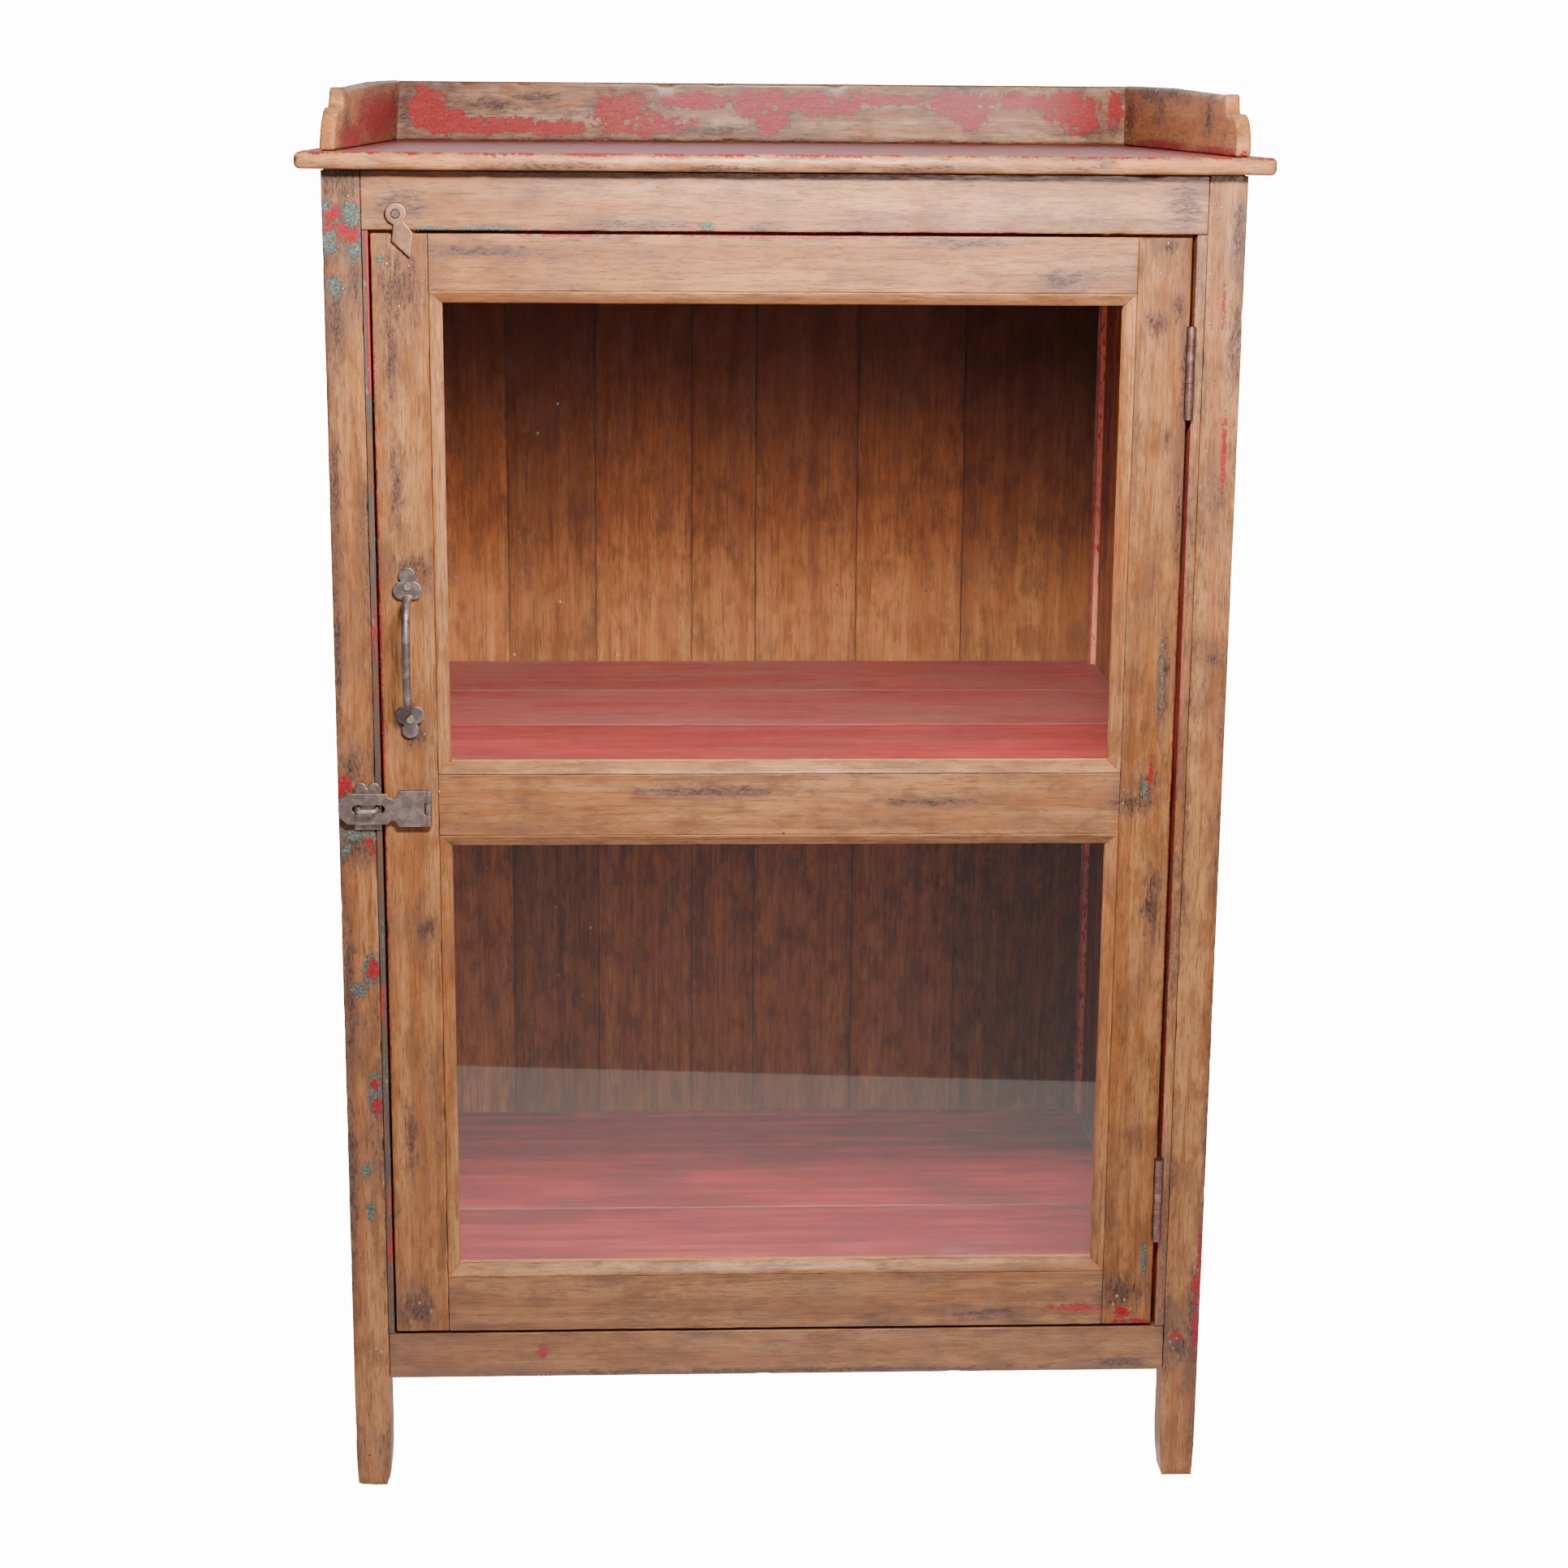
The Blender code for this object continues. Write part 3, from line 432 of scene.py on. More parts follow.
def iron(name, seed, tint=PATINA, rust=0.30, rubbed=0.55):
    """Aged iron: brown patina, small rust pits and paler rubbed places."""
    g = material_graph(name)
    broad = g.noise(110.0, seed, 4.0, 0.6)
    fine = g.noise(900.0, seed + 1, 5.0, 0.65)
    pits = g.noise(420.0, seed + 2, 4.0, 0.7)
    colour = g.blend(g.step(broad, 0.38, 0.66), toned(tint, 0.62), tint)
    colour = g.blend(g.step(pits, 0.56, 0.70, 0.0, rust), colour, RUST)
    shine = g.times(g.step(broad, 0.50, 0.72), rubbed)
    colour = g.blend(shine, colour, RUBBED_IRON)
    rough = g.plus(g.step(fine, 0.2, 0.8, 0.34, 0.58), g.times(shine, -0.10))
    metal = g.step(pits, 0.52, 0.70, 0.85, 0.35)
    normal = g.bump(fine, 0.12 * MM, 0.5)
    normal = g.bump(pits, 0.25 * MM, 0.5, normal)
    return g.surface(colour, rough, normal, metallic=metal)


def old_glass(name):
    """Clear glass, a little rippled, that lets the lamps through."""
    g = material_graph(name)
    ripple = g.bump(g.noise(5.0, 3, 2.0, 0.4), 0.8 * MM, 0.06)
    pane = g.node("ShaderNodeBsdfPrincipled", {
        "Base Color": GLASS, "Roughness": 0.0, "IOR": 1.5, "Transmission Weight": 1.0, "Normal": ripple,
    })
    clear = g.node("ShaderNodeBsdfTransparent", {0: GLASS_SHADOW})
    shadow = g.node("ShaderNodeLightPath").outputs["Is Shadow Ray"]
    return g.finish(g.mixed(shadow, pane.outputs[0], clear.outputs[0]))


# ---------------------------------------------------------------- meshes


def add_object(name, data):
    obj = bpy.data.objects.new(name, data)
    bpy.context.scene.collection.objects.link(obj)
    return obj


def add_mesh(name, shape):
    """Makes an object of a bmesh, which is used up."""
    mesh = bpy.data.meshes.new(name)
    shape.to_mesh(mesh)
    shape.free()
    return add_object(name, mesh)


def final_mesh(obj):
    """A copy of an object's mesh with its modifiers applied."""
    bpy.context.view_layer.update()
    return bpy.data.meshes.new_from_object(obj.evaluated_get(bpy.context.evaluated_depsgraph_get()))


def finish_mesh(name, shape, material, body, replaced=()):
    """Makes an object of a bmesh, shades it smooth, hangs it on its body, and hides the CAD nodes it
    replaces.
    """
    obj = add_mesh(name, shape)
    obj.data.shade_smooth()
    obj.data.set_sharp_from_angle(angle=math.radians(50))
    obj.data.materials.append(material)
    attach(obj, body)
    if replaced:
        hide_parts(*replaced)
    return obj


def paint_node(node, material):
    """Gives its material to a CAD node that keeps its shape."""
    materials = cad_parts[node].data.materials
    materials.clear()
    materials.append(material)


def ticks(low, high, radius, step):
    """Cut places along one side: close together over the rounded edge at both ends."""
    size = high - low
    near = [0.0, radius * 0.35, radius * 0.75, radius * 1.15, radius * 2.2]
    near = [v for v in near if v < size * 0.45]
    inner = size - 2 * near[-1]
    count = max(1, round(inner / step))
    middle = [low + near[-1] + inner * i / count for i in range(1, count)]
    return [low + v for v in near] + middle + [high - v for v in reversed(near)]


def grid_box(sides):
    """The surface of a box cut at the given places along each axis."""
    shape = bmesh.new()
    made = {}
    last = [len(side) - 1 for side in sides]

    def corner(index):
        if index not in made:
            made[index] = shape.verts.new([sides[a][index[a]] for a in range(3)])
        return made[index]

    for fixed in range(3):
        u, v = (fixed + 1) % 3, (fixed + 2) % 3
        for end in (0, last[fixed]):
            for i in range(last[u]):
                for j in range(last[v]):
                    quad = []
                    for du, dv in ((0, 0), (1, 0), (1, 1), (0, 1)):
                        index = [0, 0, 0]
                        index[fixed], index[u], index[v] = end, i + du, j + dv
                        quad.append(corner(tuple(index)))
                    if end == 0:
                        quad.reverse()
                    shape.faces.new(quad)
    return shape


def wear(shape, low, high, radius, seed, chips, dents, square_rear):
    """Rounds a box's edges by a radius that wanders along them, chips them, and dents the faces."""
    shift = Vector((seed * 1.7, seed * 2.9, seed * 0.9))
    most = [(high[a] - low[a]) * EDGE_SHARE for a in range(3)]
    crisp = 0.4 * MM
    rear = high.y - 2.3 * radius[Y] if square_rear else math.inf
    for vert in shape.verts:
        p = vert.co.copy()
        wander = noise.noise(p * WANDER_WAVES + shift)
        chip = max(0.0, noise.noise(p * CHIP_WAVES - shift) - CHIP_FLOOR) * chips
        grow = 1.0 + WANDER * wander + CHIP * chip
        reach = [r * grow for r in radius]
        if p.y > rear:
            reach[Y] = reach[Z] = crisp
        reach = [min(reach[a], most[a]) for a in range(3)]
        core = Vector([min(max(p[a], low[a] + reach[a]), high[a] - reach[a]) for a in range(3)])
        lean = Vector([(p[a] - core[a]) / reach[a] for a in range(3)])
        if lean.length > 1e-6:
            out = lean.normalized()
            p = Vector([core[a] + out[a] * reach[a] for a in range(3)])
            p -= out * (dents * (0.5 + 0.5 * noise.noise(p * DENT_WAVES + shift)))
        vert.co = p


def worn_block(
    name, low, high, material, body, slot, replaced=(), seed=1, radius=(1.6, 1.6, 1.6),
    step=9.0, chips=1.0, dents=0.15, reshape=None, cutters=(), square_rear=False,
):
    """Builds a worn box. The radius on each axis, the step of its cuts and the dents are millimetres."""
    low, high = Vector(low), Vector(high)
    radius = [r * MM for r in radius]
    size = high - low
    longest = max(range(3), key=lambda a: size[a])
    pitch = [step if a == longest else step * 1.6 for a in range(3)]
    shape = grid_box([ticks(low[a], high[a], radius[a], pitch[a] * MM) for a in range(3)])
    wear(shape, low, high, radius, seed, chips, dents * MM, square_rear)
    if reshape:
        for vert in shape.verts:
            vert.co = reshape(vert.co)
    obj = finish_mesh(name, shape, material, body, replaced)
    for cutter in cutters:
        carve(obj, cutter)


def worn_node(node, material, body, slot, **how):
    """Rebuilds a box-shaped CAD node."""
    low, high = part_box(node)
    worn_block("worn_" + node, low, high, material, body, slot, (node,), **how)


def carve(obj, cutter):
    """Cuts one object out of another for good, and removes the cutter."""
    cut = obj.modifiers.new("carve", "BOOLEAN")
    cut.operation = "DIFFERENCE"
    cut.solver = "EXACT"
    cut.object = cutter
    mesh = final_mesh(obj)
    obj.modifiers.remove(cut)
    obj.data = mesh
    bpy.data.objects.remove(cutter, do_unlink=True)


def soften(node, material, body, voxel, rounds, bend=None):
    """Rebuilds a CAD node of any shape with softly rounded edges, from voxels of that many millimetres."""
    source = add_object("soft_source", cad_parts[node].data.copy())
    remesh = source.modifiers.new("remesh", "REMESH")
    remesh.mode = "VOXEL"
    remesh.voxel_size = voxel * MM
    smooth = source.modifiers.new("smooth", "SMOOTH")
    smooth.factor = 0.5
    smooth.iterations = rounds
    shape = bmesh.new()
    shape.from_mesh(final_mesh(source))
    if bend:
        for vert in shape.verts:
            vert.co = bend(vert.co)
    bpy.data.objects.remove(source, do_unlink=True)
    obj = finish_mesh("worn_" + node, shape, material, body, (node,))
    obj.data.set_sharp_from_angle(angle=math.radians(180))


# ---------------------------------------------------------------- carcass


def leg_shape(name, side):
    """Draws the foot of a post in over its last stretch, as worn and rounded by dragging."""
    low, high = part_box(name)
    centre = (low + high) / 2
    reach = 46.0 * MM
    # How far the foot draws in, and the share of that on its outer side and from front to back
    draw, outer, depth = 0.20, 0.35, 0.5

    def shape(p):
        rise = (p.z - low.z) / reach
        if rise < 1.0:
            pull = draw * (1.0 - rise) ** 2
            p.x += (centre.x - p.x) * (pull if (p.x - centre.x) * side < 0 else pull * outer)
            p.y += (centre.y - p.y) * pull * depth
        return p

    return shape


def build_posts():
    """The four posts. The front pair is painted and smudged, and the rear pair has a red line inside."""
    red = spots_at(
        FACE,
        (-367, 1121, 7, 20, 7), (-360, 1108, 5, 20, 5), (-352, 1103, 6, 20, 5), (-371, 1112, 4, 20, 5),
        (-352, 596, 3, 9, 4), (-349, 588, 2, 9, 3), (-374, 645, 8, 16, 9), (-350.5, 482, 6, 9, 9),
        (-350, 361, 5, 9, 9), (-352, 379, 3, 9, 5), (373, 186, 4, 14, 10), (376, 214, 2.5, 14, 26),
        (374, 150, 2.5, 14, 30), (357, 135, 5, 8, 6), (366, 925, 2, 6, 34), (361, 1050, 1.5, 6, 16),
    )
    green = spots_at(
        FACE,
        (-372, 1126, 6, 20, 5), (-354, 1120, 8, 20, 9), (-372, 1099, 7, 20, 12), (-352, 1092, 5, 20, 10),
        (-362, 1114, 6, 20, 4), (-368, 1062, 6, 14, 8), (-366, 603, 9, 20, 5), (-352, 601, 6, 20, 4),
        (-372, 590, 4, 20, 7), (-351, 483, 9, 14, 14), (-363, 465, 8, 14, 6), (-351, 366, 7, 14, 13),
        (-352, 384, 5, 14, 6), (-361, 300, 4, 12, 7), (-358, 262, 4, 12, 9),
    )
    # The thin smudge at the top of the right post, right under the top board, is painted shadow; the rest are
    # smudges
    smudges = spots_at(
        FACE,
        (-364, 1148, 40, 30, 24), (-362, 1110, 30, 30, 30), (-352, 1068, 8, 30, 22), (-368, 1040, 10, 30, 60),
        (-372, 900, 6, 30, 60), (-374, 760, 5, 30, 90), (-362, 594, 24, 30, 26), (-366, 660, 12, 30, 24),
        (-372, 470, 7, 30, 90), (-374, 300, 6, 30, 110), (361, 1156, 24, 30, 5), (371, 1110, 7, 30, 36),
        (372, 1020, 8, 30, 40), (364, 754, 8, 20, 7), (372, 150, 9, 30, 60), (360, 128, 12, 20, 14),
    )
    for side, sign in (("left", -1), ("right", 1)):
        corner = 0.9 if side == "right" else 1.5
        for end in ("front", "rear"):
            node = end + "_" + side + "_post"
            low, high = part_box(node)
            seed = 11 + 7 * (side == "right") + 3 * (end == "rear")
            look = dict(stain=0.75, edge_stain=0.7, sheen=0.34, coat=0.04)
            if end == "front":
                look.update(red=red, green=green, smudges=smudges)
            else:
                look["lining"] = (low.x if side == "right" else high.x, 6.0 * MM)
            worn_node(
                node, teak("teak_" + node, Z, seed, (low, high), **look), "carcass", "teak", seed=seed,
                radius=(corner, corner, 0.5), chips=1.6, dents=0.25, step=7.0, reshape=leg_shape(node, sign),
            )


def build_rails():
    """The rails between the posts, and the two side panels."""
    # The long thin smudge along the top of the front top rail, under the top board's overhang, is painted
    # shadow; the rest are smudges
    smudges = spots_at(
        FACE,
        (0, 1156, 420, 30, 5), (-315, 1128, 26, 30, 14), (-120, 1113, 62, 30, 5), (-20, 1110, 24, 30, 6),
        (328, 1132, 18, 30, 26), (0, 108, 300, 30, 3.5), (300, 112, 36, 30, 6),
    )
    green = spots_at(FACE, (-240, 1109, 26, 14, 2.4), (-66, 1112, 5, 9, 4), (-290, 1109, 14, 12, 2))
    red = spots_at(FACE, (120, 1108, 80, 5, 1.2), (-210, 128, 5, 8, 6), (-60, 1108, 70, 5, 1))
    long_rails = ("front_top_rail", "front_bottom_rail", "rear_top_rail", "rear_bottom_rail")
    for seed, node in enumerate(long_rails, 31):
        look = dict(stain=0.45, edge_stain=0.45, sheen=0.55)
        if "bottom" in node:
            look.update(light=toned(TAN, 0.80), mid=toned(HONEY, 0.82))
        if node.startswith("front"):
            look.update(smudges=smudges, green=green, red=red)
        material = teak("teak_" + node, X, seed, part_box(node), **look)
        worn_node(node, material, "carcass", "teak", seed=seed, radius=(0.4, 1.3, 1.3), dents=0.2)
    for side in ("left", "right"):
        for place in ("top", "bottom"):
            node = side + "_" + place + "_rail"
            seed = 41 + len(node)
            material = teak("teak_" + node, Y, seed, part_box(node), stain=0.7, sheen=0.15, coat=0.0)
            worn_node(node, material, "carcass", "teak", seed=seed, radius=(1.3, 0.4, 1.3), dents=0.2)
        node = side + "_panel"
        material = teak(
            "teak_" + node, Z, 52 + len(node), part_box(node), mid=toned(HONEY, 0.85),
            stain=0.7, gloss=0.55, sheen=0.10, coat=0.0,
        )
        worn_node(
            node, material, "carcass", "teak_inside", seed=52, radius=(0.6, 0.4, 0.4), step=24.0, dents=0.2,
        )


def build_jambs():
    """The thin painted strip on each side of the door. The right one is cleared for the hinges."""
    left, right = "left_jamb_strip", "right_jamb_strip"
    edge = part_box(right)[0].x / MM
    stripes = spots_at(FACE, (edge, 760, 0.7, 6, 300), (edge, 300, 0.7, 6, 160))
    left_paint = painted_strip("paint_" + left, 61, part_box(left)[1].x)
    right_paint = teak("paint_" + right, Z, 66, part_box(right), stain=0.8, edge_stain=0.7, red=stripes)
    for node, material, cutters in ((left, left_paint, ()), (right, right_paint, hinge_rooms())):
        worn_node(
            node, material, "carcass", "painted_teak", seed=61, radius=(0.35, 0.35, 0.4), step=8.0,
            cutters=cutters,
        )


def build_back():
    """The upright boards of the back, each of its own tone, with painted shade high up on the inner face."""
    for number, tone in enumerate((1.15, 0.72, 0.95, 0.85, 0.92, 0.98, 0.78)):
        node = "back_board_%d" % (number + 1)
        material = teak(
            "inside_" + node, Z, 71 + 3 * number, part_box(node), light=toned(BACK_LIGHT, tone),
            mid=toned(BACK_MID, tone), stain=0.22, edge_stain=0.3, gloss=0.62, coat=0.0, sheen=0.10,
            upper_shade=0.9,
        )
        worn_node(
            node, material, "carcass", "teak_inside", seed=71 + number, radius=(1.0, 1.0, 0.4), step=22.0,
            dents=0.25,
        )


def build_tongues():
    """The loose tongue in each seam of the back, which keeps light out where the boards have shrunk."""
    # Painted shade: the tongues are toned dark like shaded seams, and darker still high up like the boards
    material = teak(
        "inside_tongue", Z, 99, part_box("back_board_1"), light=toned(HONEY, 0.22), mid=toned(HONEY, 0.16),
        sheen=0.05, coat=0.0, gloss=0.7, upper_shade=0.9,
    )
    half_wide, half_thick, short = 4.0 * MM, 1.5 * MM, 2.0 * MM
    for number in range(1, 7):
        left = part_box("back_board_%d" % number)
        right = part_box("back_board_%d" % (number + 1))
        seam = (left[1].x + right[0].x) / 2
        middle = (left[0].y + left[1].y) / 2
        low = (seam - half_wide, middle - half_thick, left[0].z + short)
        high = (seam + half_wide, middle + half_thick, left[1].z - short)
        worn_block(
            "back_tongue_%d" % number, low, high, material, "carcass", "teak_inside", seed=99,
            radius=(0.4, 0.4, 0.4), step=60.0, dents=0.05,
        )


def build_planks():
    """The red planks of the shelf and the floor, and the bearers under them."""
    # Wear along the edges, dust on the paint, and the tone of the red. The floor's red is lighter further
    # back: painted light against the shade under the shelf.
    planks = {
        "shelf_plank_front": (0.5, 0.30, 1.0),
        "shelf_plank_middle": (0.5, 0.75, 1.0),
        "shelf_plank_rear": (0.5, 0.75, 1.0),
        "floor_plank_front": (0.7, 0.04, 1.2),
        "floor_plank_middle": (0.7, 0.04, 1.5),
        "floor_plank_rear": (0.7, 0.04, 2.0),
    }
    for number, (node, look) in enumerate(planks.items()):
        paint_node(node, red_plank("red_" + node, 101 + 4 * number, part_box(node), *look))
    for side in ("left", "right"):
        for kind in ("shelf", "floor"):
            node = side + "_" + kind + "_bearer"
            material = teak("inside_" + node, Y, 131 + len(node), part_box(node), stain=0.5)
            worn_node(node, material, "carcass", "teak_inside", seed=131, radius=(1.0, 0.4, 1.0))


def build_top():
    """The top board: red above, bare along its rounded edges."""
    smudges = spots_at(
        TOP_EDGE,
        (-190, 1160, 70, 12, 4), (-60, 1159, 90, 12, 4), (100, 1160, 90, 12, 4), (255, 1164, 12, 12, 4),
    ) + spots_mm((0, -285, 1171, 420, 12, 3))
    red = spots_mm((0, 60, 1171, 900, 520, 2.6))
    # The top board's wood is lighter than the rest: partly its own tone, partly a painted highlight for the
    # glare along its front edge
    material = teak(
        "teak_top_board", X, 141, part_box("top_board"), light=toned(TAN, 1.35), mid=toned(HONEY, 1.6),
        stain=0.6, edge_stain=0.4, smudges=smudges, red=red, gloss=0.42, coat=0.10, sheen=0.35,
        tear=(45.0, 300.0, 6.5),
    )
    worn_node(
        "top_board", material, "carcass", "teak", seed=141, radius=(5.2, 5.2, 6.0), chips=0.5, dents=0.5,
        square_rear=True,
    )


def lean_in(p):
    """The left gallery board leans in a little at its top."""
    lean, tall = 4.5 * MM, 58.0 * MM
    p.x += lean * (p.z - TOP) / tall
    return p


def build_gallery():
    """The low board at the back of the top, and the shaped one on each side."""
    patches = spots_at(
        GALLERY_BACK,
        (-333, 1206, 20, 9, 16), (-318, 1190, 26, 9, 12), (-262, 1186, 60, 9, 8), (-205, 1184, 34, 9, 8),
        (-140, 1200, 30, 9, 20), (-120, 1188, 44, 9, 11), (-66, 1212, 42, 9, 8), (0, 1208, 34, 9, 16),
        (10, 1194, 18, 9, 16), (62, 1210, 50, 9, 11), (120, 1214, 40, 9, 6), (200, 1208, 34, 9, 13),
        (210, 1196, 16, 9, 12), (262, 1212, 42, 9, 8), (312, 1208, 34, 9, 15), (322, 1192, 18, 9, 12),
        (356, 1204, 8, 9, 20),
    )
    grime = spots_at(
        GALLERY_BACK,
        (-356, 1200, 10, 14, 40), (-60, 1182, 80, 14, 7), (0, 1173, 400, 14, 3), (-270, 1206, 40, 14, 8),
        (-225, 1214, 30, 14, 6), (330, 1184, 40, 14, 7),
    )
    material = teak(
        "paint_gallery_back", X, 151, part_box("gallery_back"), light=RUBBED_TAN, stain=0.8, edge_stain=0.5,
        red=patches, smudges=grime, tear=(70.0, 260.0, 2.9), sheen=0.20, coat=0.30, gloss=0.46,
    )
    worn_node(
        "gallery_back", material, "carcass", "painted_teak", seed=151, radius=(2.0, 2.2, 2.2), chips=1.4,
        dents=0.3, step=7.0,
    )
    red_left = spots_mm((-364, 100, 1195, 12, 200, 22), (-364, -150, 1180, 12, 90, 10))
    red_right = spots_mm((364, -190, 1174, 14, 90, 4), (364, 60, 1175, 14, 120, 4))
    soot = spots_mm(
        (364, 150, 1222, 12, 70, 9), (364, -160, 1200, 12, 18, 20), (364, 20, 1222, 12, 60, 6),
        (364, 260, 1198, 12, 30, 26), (-364, 240, 1200, 12, 50, 26), (-364, -200, 1190, 12, 40, 12),
    )
    for side, red, bend in (("left", red_left, lean_in), ("right", red_right, None)):
        node = "gallery_" + side
        material = teak(
            "paint_" + node, Y, 161 + len(node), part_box(node), light=toned(TAN, 1.3), mid=toned(HONEY, 1.5),
            stain=0.8, edge_stain=0.3, red=red, smudges=soot, sheen=0.18, coat=0.02,
        )
        soften(node, material, "carcass", voxel=1.8, rounds=4, bend=bend)


def build_seats():
    """Dark strips in the joints above and below the top board, which keep light out of the worn edges. Their
    dark colour is painted shade in the joints.
    """
    material = teak(
        "gallery_seat", X, 158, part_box("gallery_back"), light=UMBER, mid=toned(UMBER, 0.6), coat=0.0,
        gloss=0.7,
    )
    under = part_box("top_board")[0].z
    dip, rise = 1.6 * MM, 2.4 * MM
    # The node a strip lies against, and the millimetres it stops short at the sides and at the ends
    seats = {
        "gallery_seat": ("gallery_back", 2.0, 2.5),
        "gallery_seat_left": ("gallery_left", 2.5, 4.0),
        "gallery_seat_right": ("gallery_right", 2.5, 4.0),
        "top_seat_left": ("left_panel", 1.5, -24.0),
        "top_seat_right": ("right_panel", 1.5, -24.0),
    }
    for name, (node, side, end) in seats.items():
        low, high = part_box(node)
        level = under if node.endswith("panel") else low.z
        start = (low.x + side * MM, low.y + end * MM, level - dip)
        stop = (high.x - side * MM, high.y - end * MM, level + rise)
        worn_block(
            name, start, stop, material, "carcass", "painted_teak", seed=158, radius=(0.4, 0.4, 0.4),
            dents=0.05, step=40.0,
        )


# ---------------------------------------------------------------- door


def hinge_rooms(with_leaf=False):
    """Cutters that clear each hinge barrel, and the door's leaf if that is asked for."""
    made = []
    room, clear, before = 3.95 * MM, 1.0 * MM, 0.2 * MM
    for place in ("upper", "lower"):
        low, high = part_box(place + "_hinge_frame_leaf")
        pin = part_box(place + "_hinge_pin")
        centre = (pin[0] + pin[1]) / 2
        tall = high.z - low.z + clear
        shape = bmesh.new()
        bmesh.ops.create_cone(
            shape, cap_ends=True, segments=24, radius1=room, radius2=room, depth=tall,
            matrix=Matrix.Translation(centre),
        )
        made.append(add_mesh("room_" + place, shape))
        if with_leaf:
            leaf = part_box(place + "_hinge_door_leaf")
            size = Vector((leaf[1].x - leaf[0].x + clear, high.y - low.y, tall))
            middle = Vector((leaf[0].x + size.x / 2 - before, (low.y + high.y) / 2, centre.z))
            shape = bmesh.new()
            bmesh.ops.create_cube(shape, size=1.0)
            for vert in shape.verts:
                vert.co = vert.co * size + middle
            made.append(add_mesh("leaf_room_" + place, shape))
    return made


def build_door():
    """The door's stiles and rails, and the mould and bead round each pane."""
    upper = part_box("upper_glass")
    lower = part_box("lower_glass")
    inset = REBATE - GLASS_CLEAR
    sight_left = upper[0].x + inset
    sight_right = upper[1].x - inset
    back = DOOR_HIGH.y
    smudges = spots_at(
        FACE,
        (-318, 1060, 26, 20, 40), (-325, 1020, 8, 20, 60), (-310, 830, 20, 20, 16), (-322, 900, 8, 20, 40),
        (-312, 690, 18, 20, 14), (-305, 520, 12, 20, 10), (-322, 330, 6, 20, 40), (-318, 170, 20, 20, 22),
        (-250, 1092, 60, 20, 6), (150, 1100, 44, 20, 5), (230, 1070, 30, 20, 10), (314, 1098, 13, 20, 8),
        (314, 1099, 9, 20, 5), (324, 1048, 6, 20, 18), (324, 1046, 4, 20, 12), (330, 1000, 4, 20, 60),
        (306, 1034, 12, 20, 14), (318, 940, 5, 20, 9), (330, 880, 3, 20, 70), (323, 735, 6, 20, 60),
        (310, 640, 14, 20, 20), (320, 540, 10, 20, 40), (300, 628, 20, 20, 12), (-60, 640, 80, 20, 6),
        (120, 630, 60, 20, 5), (190, 160, 40, 20, 6), (305, 180, 26, 20, 18),
    )
    red = spots_at(
        FACE,
        (-339, 700, 2, 8, 300), (306, 161, 6, 9, 6), (318, 151, 18, 9, 2.5), (0, 1105, 90, 5, 1.5),
        (-180, 1105, 30, 5, 1.3), (315, 655, 1.5, 5, 16), (334, 640, 1.6, 6, 260), (262, 165, 22, 8, 3),
    )
    green = spots_at(
        FACE, (321, 740, 1.1, 6, 34), (311, 640, 3, 6, 8), (325, 210, 2, 6, 18), (-330, 1085, 3, 6, 3),
    )
    look = dict(stain=0.55, edge_stain=0.35, red=red, green=green, smudges=smudges)
    stiles = {
        "door_left_stile": (DOOR_LOW.x, sight_left - MOULD, 1.0, 0.28, ()),
        "door_right_stile": (sight_right + MOULD, DOOR_HIGH.x, 0.86, 0.14, hinge_rooms(with_leaf=True)),
    }
    for number, (node, (x0, x1, tone, sheen, cutters)) in enumerate(stiles.items()):
        low = (x0, FRONT, DOOR_LOW.z)
        high = (x1, back, DOOR_HIGH.z)
        material = teak(
            "teak_" + node, Z, 171 + 5 * number, (low, high), light=toned(TAN, tone), mid=toned(HONEY, tone),
            sheen=sheen, coat=0.03, **look,
        )
        worn_block(
            "worn_" + node, low, high, material, "door", "teak", (node,), seed=171 + number,
            radius=(1.4, 1.4, 1.4), dents=0.18, step=8.0, cutters=cutters,
        )
    gap = 0.12 * MM
    rails = {
        "door_bottom_rail": (DOOR_LOW.z, lower[0].z + inset - MOULD, 0.80, 0.82),
        "door_middle_rail": (lower[1].z - inset + MOULD, upper[0].z + inset - MOULD, 1.0, 1.0),
        "door_top_rail": (upper[1].z - inset + MOULD, DOOR_HIGH.z, 1.0, 1.0),
    }
    for number, (node, (z0, z1, tan, honey)) in enumerate(rails.items()):
        low = (sight_left - MOULD + gap, FRONT, z0)
        high = (sight_right + MOULD - gap, back, z1)
        material = teak(
            "teak_" + node, X, 191 + 5 * number, (low, high), light=toned(TAN, tan), mid=toned(HONEY, honey),
            **look,
        )
        worn_block(
            "worn_" + node, low, high, material, "door", "teak", (node,), seed=191 + number,
            radius=(0.35, 0.9, 0.9), chips=0.6, dents=0.18, step=8.0,
        )
    for place, (low, high) in (("lower", lower), ("upper", upper)):
        sight = (sight_left, low.z + inset, sight_right, high.z - inset)
        build_strips(place + "_mould", sight, MOULD_PROFILE, 210)
        build_strips(place + "_bead", sight, BEAD_PROFILE, 230)


